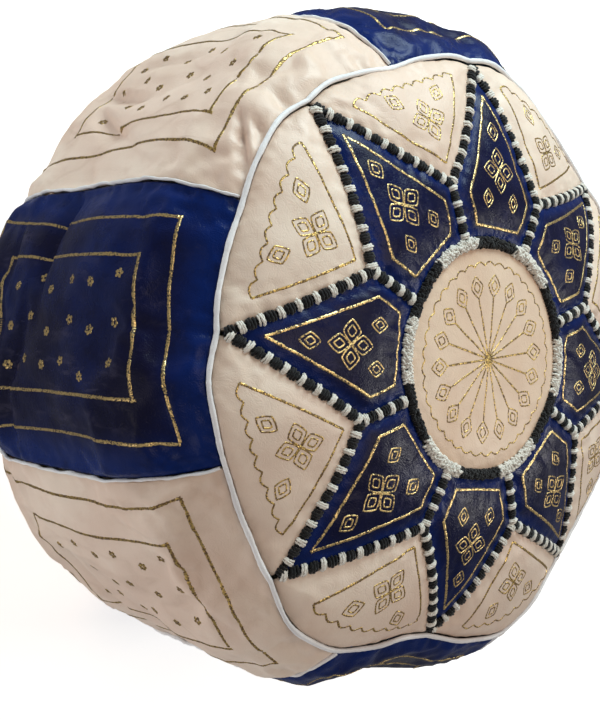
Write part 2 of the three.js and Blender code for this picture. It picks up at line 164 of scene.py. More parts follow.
def to_segment(x, y, start, end):
    """Distance in plan from a straight line between two points."""
    along = np.subtract(end, start)
    share = ((x - start[0]) * along[0] + (y - start[1]) * along[1]) / (along @ along)
    share = np.clip(share, 0, 1)
    return np.hypot(x - start[0] - share * along[0], y - start[1] - share * along[1])


def top_seam_distance(x, y):
    """Distance in plan from the nearest seam of the top."""
    radius, azimuth = np.hypot(x, y), np.arctan2(y, x)
    fx, fy = polar(radius, from_tip(azimuth))
    notch = polar(NOTCH, HALF)
    to_edge = to_segment(fx, fy, (TIP, 0), notch)
    to_radial = to_segment(fx, fy, polar(MEDALLION, HALF), notch)
    to_rim = ring_radius(azimuth) - PIPING - radius
    return np.minimum.reduce([to_edge, to_radial, np.abs(radius - MEDALLION), to_rim])


def top_relief(x, y):
    """How far the stuffed top stands off the smooth one."""
    d = top_seam_distance(x, y)
    flat = np.stack([x, y, np.zeros_like(x)], -1)
    full = np.where(np.hypot(x, y) < MEDALLION, 1.8, 3.4)
    puff = full * rise(d, 10 * MM) - 1.5 - 0.9 * np.exp(-d / (0.9 * MM))
    lumps = 0.7 * ripple(flat, 60 * MM, 11) + 0.22 * ripple(flat, 17 * MM, 12)
    gathers = 0.35 * ripple(flat, 9 * MM, 13) * np.exp(-d / (9 * MM))
    return (puff + lumps * rise(d, 8 * MM) + gathers) * MM


def side_radius(azimuth, up):
    """Plan radius of the side. up is 0 at the base seam and 1 at the top seam."""
    across = from_tip(azimuth) / HALF
    swell = BELLY * (1 - np.abs(2 * up - 1) ** BELLY_POWER)
    dip = SEAM_DIP * across**4 * np.sin(math.pi * up)
    belly = 1 + pushed(azimuth, BELLY_PUSH) * np.sin(math.pi * up) ** 0.8
    rim = 1 + pushed(azimuth, RIM_PUSH) * up**2.5
    return (BASE_R + (ring_radius(azimuth) - BASE_R) * up + swell - dip) * belly * rim


# The side's profile over the middle of a panel, by length from the base seam.
UPS = np.linspace(0, 1, 801)
PROFILE_R = side_radius(np.full_like(UPS, FIRST), UPS)
PROFILE_Z = BASE_Z + (RING_Z - BASE_Z) * UPS
STEPS = np.hypot(np.diff(PROFILE_R), np.diff(PROFILE_Z))
LENGTHS = np.concatenate([[0], np.cumsum(STEPS)])
SIDE = LENGTHS[-1]


def smooth_side(azimuth, along):
    """The side before stuffing shows, at a length along its profile from the base seam."""
    up = np.interp(along, LENGTHS, UPS)
    x, y = polar(side_radius(azimuth, up), azimuth)
    return np.stack([x, y, BASE_Z + (ring_height(azimuth) - BASE_Z) * up], -1)


# Creases of the side panels: panel, distance across from its middle, length from the base
# seam, direction from across in degrees, length, depth and width. Lengths are in mm.
CREASES = [
    (0, -64, 148, 3, 104, 8.0, 8),
    (0, 40, 120, -8, 120, 5.0, 8),
    (0, -30, 96, 10, 90, 4.0, 7),
    (0, 66, 262, 62, 60, 1.6, 5),
    (7, 64, 310, 48, 62, 7.0, 5),
    (7, 44, 318, 80, 44, 5.0, 5),
    (7, 12, 322, 92, 60, 4.5, 6),
    (7, -10, 326, 100, 44, 3.5, 5),
    (7, -48, 280, 24, 80, 3.0, 7),
    (7, 70, 190, 62, 80, 2.2, 7),
    (7, 40, 136, 66, 70, 7.0, 6),
    (7, 8, 128, 84, 64, 7.0, 6),
    (7, -30, 150, 100, 70, 4.0, 7),
    (1, 20, 120, 15, 120, 4.0, 8),
    (1, -64, 250, 78, 90, 2.0, 8),
    (1, 50, 300, 100, 60, 2.5, 6),
    (2, 30, 200, 10, 120, 3.0, 9),
    (2, -40, 310, 80, 50, 2.5, 6),
    (3, -20, 130, -12, 130, 4.5, 8),
    (3, 50, 300, 70, 60, 2.5, 6),
    (4, 40, 230, 18, 90, 3.0, 8),
    (4, -50, 110, -8, 110, 4.5, 8),
    (5, -30, 110, 10, 140, 4.5, 9),
    (5, 60, 290, 110, 70, 2.5, 6),
    (6, 10, 240, -14, 100, 3.0, 8),
    (6, -50, 120, 12, 100, 4.5, 8),
]


def panel_middle(panel):
    """Azimuth of the middle of a side panel, which is also that of a star tip."""
    return FIRST + panel * PANEL_ANGLE


def crease_relief(azimuth, along, radius):
    """The creases: each is steep on one side of its line, soft on the other, and fades at its ends."""
    relief = np.zeros_like(along)
    for panel, across, height, turn, length, depth, width in CREASES:
        turn = math.radians(turn)
        off = (azimuth - panel_middle(panel) + math.pi) % TURN - math.pi
        dx = off * radius - across * MM
        dy = along - height * MM
        run = dx * math.cos(turn) + dy * math.sin(turn)
        off_line = dy * math.cos(turn) - dx * math.sin(turn)
        off_line = off_line + 4 * MM * np.sin(run / (22 * MM) + panel)
        steep = np.where(off_line > 0, 0.45, 1.6) * width * MM
        fade = np.exp(-((2 * run / (length * MM)) ** 4))
        relief -= depth * MM * fade * np.exp(-((off_line / steep) ** 2))
    return relief


def side_relief(azimuth, along):
    """How far the stuffed side stands off the smooth one."""
    points = smooth_side(azimuth, along)
    radius = np.hypot(points[..., 0], points[..., 1])
    to_seam = (HALF - from_tip(azimuth)) * radius
    to_end = np.minimum(along, SIDE - along)
    nearest = np.minimum(to_seam, to_end)
    puff = 5.2 * rise(to_seam, 16 * MM) * rise(to_end, 22 * MM) - 1.6
    tuck = -1.0 * np.exp(-nearest / (1.1 * MM))
    lumps = 1.9 * ripple(points, 120 * MM, 21) + 0.7 * ripple(points, 42 * MM, 22)
    fine = 0.16 * ripple(points, 12 * MM, 23)
    arc = azimuth * BASE_R / MM
    folds = np.sin(arc / 3.1 + 2.2 * np.sin(arc / 19) + 1.4 * np.sin(arc / 47))
    gather = folds * (0.55 + 0.45 * np.sin(arc / 31)) * np.exp(-to_end / (20 * MM))
    pull = ripple(points * np.array([1, 1, 3]), 26 * MM, 24) * np.exp(-to_seam / (12 * MM))
    relief = puff + tuck + (lumps + fine) * rise(nearest, 9 * MM)
    relief += 1.1 * gather * rise(to_end, 2 * MM) + 0.5 * pull * rise(nearest, 2 * MM)
    return relief * MM + crease_relief(azimuth, along, radius) * rise(nearest, 8 * MM)


def side_seam_distance(azimuth, along):
    """Distance over the side from the nearest seam."""
    radius = side_radius(azimuth, np.interp(along, LENGTHS, UPS))
    return np.minimum((HALF - from_tip(azimuth)) * radius, np.minimum(along, SIDE - along))


def normals_of(surface, u, v, du, dv):
    """Unit normals of surface(u, v), to the side that u x v gives."""
    along_u = surface(u + du, v) - surface(u - du, v)
    along_v = surface(u, v + dv) - surface(u, v - dv)
    return unit(np.cross(along_u, along_v))


HAIR = 0.3 * MM  # step by which a surface's slope is measured


CLOTH_FRAMES = 20  # steps of the simulation


def blown_up(grid, pinned, slack, name):
    """How far each point of a grid that wraps round its columns moves when cloth over it,
    sewn down where pinned, is cut larger by slack and blown up from inside."""
    rows, columns = grid.shape[:2]
    quads = grid_quads(rows, columns, wrap_columns=True)
    mesh = bpy.data.meshes.new(name)
    mesh.from_pydata(grid.reshape(-1, 3).tolist(), [], quads.tolist())
    cover = bpy.data.objects.new(name, mesh)
    bpy.context.collection.objects.link(cover)
    cover.vertex_groups.new(name="sewn").add(np.flatnonzero(pinned.ravel()).tolist(), 1, "REPLACE")
    cloth = cover.modifiers.new("cloth", "CLOTH")
    cloth.settings.quality = 6
    cloth.settings.mass = 0.3
    cloth.settings.tension_stiffness = 40
    cloth.settings.compression_stiffness = 40
    cloth.settings.shear_stiffness = 12
    cloth.settings.bending_stiffness = 0.6
    cloth.settings.air_damping = 3
    cloth.settings.use_pressure = True
    cloth.settings.uniform_pressure_force = 4
    cloth.settings.vertex_group_mass = "sewn"
    cloth.settings.shrink_min = -slack
    cloth.settings.effector_weights.gravity = 0
    cloth.collision_settings.use_collision = False
    scene = bpy.context.scene
    for number in range(1, CLOTH_FRAMES + 1):
        scene.frame_set(number)
    shaped = cover.evaluated_get(bpy.context.evaluated_depsgraph_get())
    moved = np.empty(rows * columns * 3, np.float32)
    shaped.data.vertices.foreach_get("co", moved)
    scene.frame_set(1)
    bpy.data.objects.remove(cover)
    return moved.reshape(grid.shape) - grid


def between(values, row, column):
    """Smooth values of a grid that wraps round its columns, at fractional places in it."""
    rows, columns = values.shape
    total = 0
    r0, c0 = np.floor(row).astype(int), np.floor(column).astype(int)
    for i in range(-1, 3):
        for j in range(-1, 3):
            weight = cubic_weight(row - r0 - i) * cubic_weight(column - c0 - j)
            total = total + weight * values[np.clip(r0 + i, 0, rows - 1), (c0 + j) % columns]
    return total


def cubic_weight(t):
    """Share of a grid value t places away in a smooth cubic blend of its neighbours."""
    t = np.abs(t)
    near = 1.5 * t**3 - 2.5 * t**2 + 1
    far = -0.5 * t**3 + 2.5 * t**2 - 4 * t + 2
    return np.where(t < 1, near, np.where(t < 2, far, 0))


SEWN = 3.2 * MM  # the cover is held still this near to a seam
STUFFING = {}  # by surface: its row values, and how far the simulated cover stands off


def stuff(name, surface, rows, columns, seam_distance, cap, slack):
    """Simulates the cover over surface(row, azimuth) and keeps how far it stands off, up to about cap."""
    row, azimuth = np.meshgrid(rows, columns, indexing="ij")
    grid = surface(row, azimuth)
    pinned = seam_distance(row, azimuth) < SEWN
    move = blown_up(grid, pinned, slack, name)
    du = np.gradient(grid, axis=0)
    dv = np.roll(grid, -1, axis=1) - np.roll(grid, 1, axis=1)
    out = unit(np.cross(du, dv))
    out *= np.where(np.sum(out * grid, -1, keepdims=True) < 0, -1, 1)
    off = np.sum(move * out, -1)
    STUFFING[name] = (rows, cap * np.tanh(off / cap))


def stuffed(name, row_value, azimuth):
    """What the simulation adds to a surface's relief."""
    if name not in STUFFING:
        return np.zeros(np.shape(azimuth))
    rows, off = STUFFING[name]
    row = (row_value - rows[0]) / (rows[1] - rows[0])
    return between(off, row, (azimuth - FIRST) % TURN / TURN * off.shape[1])


def top_skin(x, y, lift=0.0):
    """The leather of the top over plan points, or a place lift above it."""
    out = normals_of(smooth_top, x, y, HAIR, HAIR)
    swell = stuffed("top", np.hypot(x, y), np.arctan2(y, x)) * np.where(np.hypot(x, y) < MEDALLION, 0.5, 1)
    return smooth_top(x, y) + out * (top_relief(x, y) + swell + lift)[..., None]


def side_skin(azimuth, along, lift=0.0):
    """The leather of the side, or a place lift outside it."""
    out = normals_of(smooth_side, azimuth, along, HAIR / BASE_R, HAIR)
    swell = stuffed("side", along, azimuth)
    return smooth_side(azimuth, along) + out * (side_relief(azimuth, along) + swell + lift)[..., None]


# ---------------------------------------------------------------- meshes


class Pile:
    """Quads gathered from many small parts into one mesh."""

    def __init__(self):
        self.points = []
        self.quads = []
        self.shades = []
        self.count = 0

    def add(self, points, quads, shade=0):
        """Adds closed parts that all face the same way, turned to face out."""
        points = points.reshape(-1, 3)
        a, b, c, d = (points[quads[:, corner]] for corner in range(4))
        if np.sum(a * (np.cross(b, c) + np.cross(c, d))) < 0:
            quads = quads[:, ::-1]
        self.points.append(points)
        self.quads.append(quads + self.count)
        self.shades.append(np.full(len(quads), shade))
        self.count += len(self.points[-1])

    def piece(self, name, materials, slot, nodes=(), body=BODY):
        """Makes the piece, which rides on body and replaces the nodes. Shades number its materials."""
        points = np.concatenate(self.points)
        quads = np.concatenate(self.quads)
        mesh = bpy.data.meshes.new(name)
        mesh.vertices.add(len(points))
        mesh.vertices.foreach_set("co", points.astype(np.float32).ravel())
        mesh.loops.add(quads.size)
        mesh.loops.foreach_set("vertex_index", quads.astype(np.int32).ravel())
        mesh.polygons.add(len(quads))
        mesh.polygons.foreach_set("loop_start", np.arange(0, quads.size, 4, dtype=np.int32))
        mesh.polygons.foreach_set("use_smooth", np.ones(len(quads), bool))
        for material in materials:
            mesh.materials.append(material)
        shades = np.concatenate(self.shades).astype(np.int32)
        mesh.polygons.foreach_set("material_index", shades)
        mesh.update(calc_edges=True)
        made = bpy.data.objects.new(name, mesh)
        bpy.context.collection.objects.link(made)
        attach(made, body)
        if nodes:
            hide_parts(*nodes)
        return made


def grid_quads(rows, columns, wrap_rows=False, wrap_columns=False):
    """Quads between the points of a grid that are numbered row by row."""
    i = np.arange(rows if wrap_rows else rows - 1)[:, None]
    j = np.arange(columns if wrap_columns else columns - 1)[None, :]
    i2, j2 = (i + 1) % rows, (j + 1) % columns
    corners = [i * columns + j, i2 * columns + j, i2 * columns + j2, i * columns + j2]
    return np.stack([np.broadcast_to(c, (i.size, j.size)) for c in corners], -1).reshape(-1, 4)


def ladder(loop):
    """Quads that fill a loop with an even number of corners."""
    n = len(loop)
    return np.array([[loop[i], loop[i + 1], loop[n - 2 - i], loop[n - 1 - i]] for i in range(n // 2 - 1)])


def shell(outer, thickness):
    """A closed skin under a grid of points whose rows x columns normals face out."""
    rows, columns = outer.shape[:2]
    along = np.gradient(outer, axis=0)
    across = np.gradient(outer, axis=1)
    inner = outer - unit(np.cross(along, across)) * thickness
    top = grid_quads(rows, columns)
    under = top[:, ::-1] + rows * columns
    number = np.arange(rows * columns).reshape(rows, columns)
    rim = np.concatenate([number[0, :], number[1:, -1], number[-1, -2::-1], number[-2:0:-1, 0]])
    after = np.roll(rim, -1)
    edge = np.stack([rim, after, after + rows * columns, rim + rows * columns], -1)
    return np.concatenate([outer.reshape(-1, 3), inner.reshape(-1, 3)]), np.concatenate([top, under, edge])


def sweep(centres, across, up, section, closed=False):
    """A tube through centres. section is one loop of (across, up) offsets, or one for each centre."""
    section = np.broadcast_to(section, (len(centres),) + np.shape(section)[-2:])
    points = centres[:, None] + across[:, None] * section[..., :1] + up[:, None] * section[..., 1:]
    sides = section.shape[1]
    quads = grid_quads(len(centres), sides, wrap_rows=closed, wrap_columns=True)
    if not closed:
        first = np.arange(sides)
        last = first[::-1] + (len(centres) - 1) * sides
        quads = np.concatenate([quads, ladder(first), ladder(last)])
    return points, quads


def round_section(sides, width, height):
    """An oval loop of (across, up) offsets for sweep."""
    angle = np.arange(sides) * TURN / sides
    return np.stack([width / 2 * np.cos(angle), height / 2 * np.sin(angle)], -1)


def eased(start, end, step, tight=0.6):
    """Values from start to end about step apart, closer together at both ends."""
    share = np.linspace(0, 1, max(4, int(round(abs(end - start) / step)) + 1))
    return start + (end - start) * (share - tight * np.sin(TURN * share) / TURN)


def store(piece, name, values):
    """Keeps one number for each point of a piece, for its material."""
    layer = piece.data.attributes.new(name, "FLOAT", "POINT")
    layer.data.foreach_set("value", values.astype(np.float32).ravel())


# ---------------------------------------------------------------- materials


def linear(red, green, blue):
    """A shader colour from the red, green and blue, 0 to 255, that a screen shows."""
    def channel(c):
        c /= 255
        return c / 12.92 if c < 0.04045 else ((c + 0.055) / 1.055) ** 2.4
    return (channel(red), channel(green), channel(blue), 1)


class Recipe:
    """A material under construction: each call adds a node and gives its output."""

    def __init__(self, name):
        self.material = bpy.data.materials.new(name)
        self.material.use_nodes = True
        self.tree = self.material.node_tree
        self.shader = self.tree.nodes["Principled BSDF"]
        self.place = self.node("ShaderNodeTexCoord").outputs["Object"]

    def node(self, kind, inputs=None, **settings):
        made = self.tree.nodes.new(kind)
        for name, value in settings.items():
            setattr(made, name, value)
        for name, value in (inputs or {}).items():
            self.set(made.inputs[name], value)
        return made

    def set(self, socket, value):
        if isinstance(value, bpy.types.NodeSocket):
            self.tree.links.new(value, socket)
        else:
            socket.default_value = value

    def stretched(self, x, y, z):
        """The place, stretched by these factors along the object's axes."""
        inputs = {"Vector": self.place, "Scale": (x, y, z)}
        return self.node("ShaderNodeMapping", inputs).outputs["Vector"]

    def noise(self, size, detail=3.0, rough=0.55, place=None, distortion=0.0):
        """Noise from 0 to 1 whose bumps are about size metres across."""
        inputs = {"Vector": place or self.place, "Scale": 0.6 / size, "Detail": detail,
                  "Roughness": rough, "Distortion": distortion}
        return self.node("ShaderNodeTexNoise", inputs).outputs["Fac"]

    def cells(self, size, feature="F1"):
        """Distance from the middles of random cells about size across, as a share of size."""
        inputs = {"Vector": self.place, "Scale": 1 / size}
        made = self.node("ShaderNodeTexVoronoi", inputs, feature=feature)
        return made.outputs["Distance"]

    def stored(self, name):
        """What store kept under this name."""
        return self.node("ShaderNodeAttribute", attribute_name=name).outputs["Fac"]

    def ramp(self, value, start, end, low=0.0, high=1.0):
        """low where value is under start, high where it is over end, and smooth between."""
        inputs = {"Value": value, "From Min": start, "From Max": end, "To Min": low, "To Max": high}
        made = self.node("ShaderNodeMapRange", inputs, interpolation_type="SMOOTHSTEP")
        return made.outputs["Result"]

    def math(self, operation, a, b=0.0):
        made = self.node("ShaderNodeMath", operation=operation)
        self.set(made.inputs[0], a)
        self.set(made.inputs[1], b)
        return made.outputs[0]

    def mix(self, share, a, b):
        made = self.node("ShaderNodeMix", data_type="RGBA")
        self.set(made.inputs["Factor"], share)
        self.set(made.inputs["A"], a)
        self.set(made.inputs["B"], b)
        return made.outputs["Result"]

    def bump(self, height, depth, strength=1.0, under=None):
        inputs = {"Height": height, "Distance": depth, "Strength": strength}
        made = self.node("ShaderNodeBump", inputs)
        if under:
            self.set(made.inputs["Normal"], under)
        return made.outputs["Normal"]

    def finish(self, **inputs):
        for name, value in inputs.items():
            self.set(self.shader.inputs[name.replace("_", " ")], value)
        return self.material


def leather_bump(m, grain=0.9 * MM, depth=0.10 * MM):
    """Goat grain: rounded cells with fine pores, over soft creases."""
    creases = m.math("ABSOLUTE", m.math("SUBTRACT", m.noise(9 * MM, 4, 0.6, distortion=1.2), 0.5))
    folds = m.bump(m.ramp(creases, 0.0, 0.05), 0.12 * MM, 0.5)
    pebbles = m.bump(m.cells(grain, "SMOOTH_F1"), depth, 0.8, folds)
    return m.bump(m.noise(0.35 * MM, 2), 0.03 * MM, 0.7, pebbles)


def cream_leather(name, pale, deep):
    """Soft leather between two colours, browner at its seams, with fine wrinkles below the top rim whose
    creases are darkened by painted shade.
    """
    m = Recipe(name)
    cloud = m.noise(70 * MM, 4)
    wrinkle = m.noise(40 * MM, 2, 0.5, m.stretched(1, 1, 0.5), 0.8)
    wrinkle = m.math("ABSOLUTE", m.math("SUBTRACT", wrinkle, 0.5))
    height = m.node("ShaderNodeSeparateXYZ", {"Vector": m.place}).outputs["Z"]
    on_side = m.math("MULTIPLY", m.ramp(height, 0.26, 0.29, 1.0, 0.0), m.ramp(cloud, 0.4, 0.6, 0.2, 1.0))
    wrinkle = m.math("SUBTRACT", 1.0, m.math("MULTIPLY", on_side, m.ramp(wrinkle, 0.0, 0.05, 1.0, 0.0)))
    blotch = m.noise(14 * MM, 4, 0.65)
    colour = m.mix(m.ramp(cloud, 0.35, 0.65), pale, deep)
    colour = m.mix(m.ramp(blotch, 0.5, 0.75, 0, 0.35), colour, linear(212, 184, 164))
    near_seam = m.ramp(m.stored("edge"), 0.0, 9 * MM, 0.28, 0.0)
    colour = m.mix(near_seam, colour, linear(206, 176, 152))
    pores = m.ramp(m.cells(0.9 * MM), 0.0, 0.35, 0.12, 0.0)
    colour = m.mix(pores, colour, linear(190, 158, 134))
    # Painted shade: the cream is darkened along the crease valleys of the fine wrinkles below the top rim.
    crease_shade = m.math("SUBTRACT", 0.16, m.math("MULTIPLY", wrinkle, 0.16))
    colour = m.mix(crease_shade, colour, linear(184, 152, 128))
    roughness = m.ramp(m.noise(22 * MM, 3), 0.3, 0.7, 0.4, 0.56)
    m.shader.inputs["Coat Weight"].default_value = 0.06
    m.shader.inputs["Coat Roughness"].default_value = 0.35
    m.shader.inputs["Subsurface Weight"].default_value = 0.04
    m.shader.inputs["Subsurface Radius"].default_value = (0.002, 0.0012, 0.0008)
    normal = m.bump(wrinkle, 0.4 * MM, 0.7, leather_bump(m))
    return m.finish(Base_Color=colour, Roughness=roughness, Normal=normal)


def blue_leather():
    """Glossy dyed leather, bluer at its seams and dark in the middle of each piece, where pale streaks are
    partly real scuffs and partly painted sheen.
    """
    m = Recipe("blue_leather")
    edge = m.stored("edge")
    cloud = m.noise(60 * MM, 4)
    worn = m.math("MULTIPLY", m.ramp(edge, 6 * MM, 42 * MM), m.ramp(cloud, 0.25, 0.6, 0.35, 1.0))
    colour = m.mix(worn, linear(6, 33, 96), linear(16, 16, 46))
    blotch = m.noise(11 * MM, 5, 0.7)
    colour = m.mix(m.ramp(blotch, 0.45, 0.8, 0, 0.55), colour, linear(8, 9, 30))
    # Pale lilac streaks in the worn middle: partly real scuffs and partly painted sheen. They also raise the
    # roughness.
    streaks = m.noise(6 * MM, 5, 0.7, m.stretched(1.0, 1.0, 0.22), 0.6)
    patchy = m.ramp(m.noise(34 * MM, 3), 0.42, 0.66)
    scuff_and_sheen = m.math("MULTIPLY", m.math("MULTIPLY", m.ramp(streaks, 0.5, 0.72), patchy), worn)
    colour = m.mix(m.math("MULTIPLY", scuff_and_sheen, 0.36), colour, linear(100, 94, 122))
    colour = m.mix(m.ramp(edge, 0.0, 3 * MM, 0.5, 0.0), colour, linear(6, 8, 26))
    roughness = m.ramp(m.noise(18 * MM, 4), 0.3, 0.7, 0.22, 0.35)
    roughness = m.math("ADD", roughness, m.math("MULTIPLY", scuff_and_sheen, 0.14))
    m.shader.inputs["Specular IOR Level"].default_value = 0.18
    return m.finish(Base_Color=colour, Roughness=roughness, Normal=leather_bump(m, 0.9 * MM, 0.2 * MM))


def white_leather():
    """The thin leather of the piping and the welts, a little soiled."""
    m = Recipe("white_leather")
    cloud = m.noise(25 * MM, 4)
    colour = m.mix(m.ramp(cloud, 0.35, 0.7), linear(240, 240, 242), linear(222, 220, 222))
    dirt = m.ramp(m.noise(3 * MM, 3, 0.7), 0.55, 0.8, 0, 0.4)
    colour = m.mix(dirt, colour, linear(186, 180, 178))
    roughness = m.ramp(cloud, 0.3, 0.7, 0.4, 0.55)
    return m.finish(Base_Color=colour, Roughness=roughness, Normal=leather_bump(m, 0.7 * MM, 0.08 * MM))


def gold_foil(name, bright, dull, wear):
    """Tooled foil: bright where it took and dull where it has rubbed off the leather."""
    m = Recipe(name)
    rubbed = m.noise(4 * MM, 3, 0.6)
    speck = m.noise(0.8 * MM, 2, 0.5)
    bare = m.ramp(m.math("ADD", m.math("MULTIPLY", rubbed, 0.4), speck), wear - 0.05, wear + 0.05)
    colour = m.mix(bare, bright, dull)
    metal = m.ramp(bare, 0.0, 1.0, 0.95, 0.15)
    roughness = m.ramp(bare, 0.0, 1.0, 0.3, 0.62)
    normal = m.bump(m.cells(0.9 * MM), 0.16 * MM, 0.9)
    normal = m.bump(speck, 0.08 * MM, 0.6, normal)
    return m.finish(Base_Color=colour, Metallic=metal, Roughness=roughness, Normal=normal)


def thread(name, light, dark):
    """Soft, fuzzy embroidery yarn."""
    m = Recipe(name)
    fuzz = m.noise(0.5 * MM, 4, 0.7)
    strand = m.noise(1.4 * MM, 3, 0.6, distortion=1.5)
    colour = m.mix(m.ramp(strand, 0.35, 0.7), light, dark)
    normal = m.bump(fuzz, 0.22 * MM, 0.9)
    m.shader.inputs["Sheen Weight"].default_value = 0.25
    m.shader.inputs["Sheen Roughness"].default_value = 0.5
    m.shader.inputs["Specular IOR Level"].default_value = 0.25
    return m.finish(Base_Color=colour, Roughness=m.ramp(fuzz, 0.2, 0.8, 0.75, 0.95), Normal=normal)


def woven(name, light, dark, pitch):
    """Plain weave: warp and weft bands, the higher of which gives the height."""
    m = Recipe(name)
    bands = []
    for way in ("X", "Y"):
        inputs = {"Vector": m.place, "Scale": 0.05 / pitch * TURN, "Distortion": 0.6, "Detail": 2.0}
        wave = m.node("ShaderNodeTexWave", inputs, wave_type="BANDS", bands_direction=way)
        bands.append(wave.outputs["Fac"])
    weave = m.math("MAXIMUM", bands[0], bands[1])
    colour = m.mix(m.ramp(weave, 0.2, 0.9), dark, light)
    colour = m.mix(m.ramp(m.noise(20 * MM, 3), 0.4, 0.8, 0, 0.3), colour, dark)
    m.shader.inputs["Sheen Weight"].default_value = 0.2
    return m.finish(Base_Color=colour, Roughness=m.ramp(weave, 0, 1, 0.95, 0.8),
                    Normal=m.bump(weave, 0.15 * MM, 0.8))


def wadding():
    """Tufts of fibre."""
    m = Recipe("wadding")
    tuft = m.noise(12 * MM, 6, 0.7, distortion=2.0)
    colour = m.mix(m.ramp(tuft, 0.3, 0.7), linear(206, 202, 194), linear(240, 238, 232))
    m.shader.inputs["Sheen Weight"].default_value = 0.4
    return m.finish(Base_Color=colour, Roughness=m.ramp(tuft, 0, 1, 0.95, 0.85),
                    Normal=m.bump(tuft, 1.5 * MM, 0.8))


def brass():
    """Tarnished brass with scratches along the zip."""
    m = Recipe("brass")
    tarnish = m.noise(4 * MM, 4, 0.65)
    colour = m.mix(m.ramp(tarnish, 0.4, 0.75), linear(205, 168, 92), linear(132, 98, 52))
    scratches = m.noise(1.2 * MM, 3, 0.7, m.stretched(0.15, 1.0, 1.0))
    return m.finish(Base_Color=colour, Metallic=m.ramp(tarnish, 0.5, 0.9, 1.0, 0.8),
                    Roughness=m.ramp(scratches, 0.3, 0.7, 0.22, 0.45),
                    Normal=m.bump(scratches, 0.03 * MM, 0.6))


CREAM = cream_leather("cream_leather", linear(236, 217, 200), linear(226, 200, 182))
WARM_CREAM = cream_leather("warm_cream_leather", linear(230, 204, 180), linear(220, 188, 162))
BLUE = blue_leather()
WHITE = white_leather()
GOLD = gold_foil("gold_foil", linear(246, 214, 148), linear(74, 62, 54), 0.76)
PALE_GOLD = gold_foil("worn_gold_foil", linear(222, 190, 118), linear(112, 86, 54), 0.70)
WHITE_THREAD = thread("white_thread", linear(238, 234, 226), linear(206, 200, 190))
BLACK_THREAD = thread("black_thread", linear(20, 20, 24), linear(8, 8, 10))
TAPE = woven("zip_tape_cloth", linear(222, 208, 182), linear(176, 158, 128), 0.7 * MM)
CALICO = woven("calico_cloth", linear(228, 219, 200), linear(190, 178, 152), 0.9 * MM)
WADDING = wadding()
BRASS = brass()


# ---------------------------------------------------------------- leather patches


def leather_piece(name, outer, edge, material, slot):
    """A patch of leather under a grid of points. edge tells its material how far its seams are."""
    pile = Pile()
    pile.add(*shell(outer, LEATHER))
    made = pile.piece(name, [material], slot, [name])
    store(made, "edge", np.concatenate([edge.ravel(), edge.ravel()]))


def medallion():
    """The round patch, on a polar grid whose middle is closed by a small cap."""
    radii = eased(0.4 * MM, MEDALLION - 0.3 * MM, 1.9 * MM, 0.4)
    angles = np.arange(240) * TURN / 240
    x, y = polar(radii[:, None], angles[None, :])
    outer = top_skin(x, y)
    inner = top_skin(x, y, -LEATHER)
    rows, columns = x.shape
    top = grid_quads(rows, columns, wrap_columns=True)
    under = top[:, ::-1] + rows * columns
    hub = np.arange(columns)
    brim = hub + (rows - 1) * columns
    after = np.roll(brim, -1)
    edge = np.stack([brim, after, after + rows * columns, brim + rows * columns], -1)
    caps = [ladder(hub), ladder((hub + rows * columns)[::-1])]
    pile = Pile()
    pile.add(np.concatenate([outer.reshape(-1, 3), inner.reshape(-1, 3)]),
             np.concatenate([top, under, edge[:, ::-1]] + caps))
    made = pile.piece("medallion", [WARM_CREAM], "cream_leather", ["medallion"])
    distance = top_seam_distance(x, y).ravel()
    store(made, "edge", np.concatenate([distance, distance]))


def star_edge(angle):
    """Plan radius of the straight seam from a tip, at angle 0, to a notch, at angle HALF."""
    across = TIP * NOTCH * math.sin(HALF)
    return across / (TIP * np.sin(angle) + NOTCH * np.sin(HALF - angle))


POINT_WEAR = 2.6  # the dye wears this many times nearer to a star point's seams than to a side panel's


def star_point(k):
    """A blue kite: from the medallion out to a tip, with a corner at each notch."""
    reach = HALF - 0.3 * MM / MEDALLION
    angle = np.linspace(-reach, reach, 85)
    share = eased(0, 1, 1 / 62)[:, None]
    start = MEDALLION + 0.3 * MM
    radius = start + (star_edge(np.abs(angle)) - 0.6 * MM - start) * share
    x, y = polar(radius, panel_middle(k) + angle + 0 * share)
    outer = top_skin(x, y)
    edge = POINT_WEAR * top_seam_distance(x, y)
    leather_piece(f"star_point_{k}", outer, edge, BLUE, "blue_leather")


def star_triangle(k):
    """A cream patch from a notch out to the rim, between two tips."""
    reach = HALF - math.radians(0.4)
    angle = np.linspace(-reach, reach, 91)
    share = eased(0, 1, 1 / 44)[:, None]
    azimuth = panel_middle(k) + HALF + angle
    start = star_edge(HALF - np.abs(angle)) + 0.6 * MM
    radius = start + (ring_radius(azimuth) - PIPING + 0.3 * MM - start) * share
    x, y = polar(radius, azimuth + 0 * share)
    outer = top_skin(x, y)
    leather_piece(f"star_triangle_{k}", outer, top_seam_distance(x, y), CREAM, "cream_leather")


def side_panel(k):
    """A panel of the side, from the base piping to the top piping."""
    middle_radius = BASE_R + BELLY
    reach = HALF - 0.7 * MM / BASE_R
    azimuth = panel_middle(k) + eased(-reach, reach, 2.6 * MM / middle_radius, 0.5)
    along = eased(PIPING - 0.3 * MM, SIDE - PIPING + 0.3 * MM, 2.6 * MM, 0.5)
    u, v = np.meshgrid(azimuth, along, indexing="ij")
    edge = side_seam_distance(u, v)
    material, slot = ((BLUE, "blue_leather"), (CREAM, "cream_leather"))[k % 2]
    leather_piece(f"side_panel_{k}", side_skin(u, v), edge, material, slot)


# ---------------------------------------------------------------- piping and welts


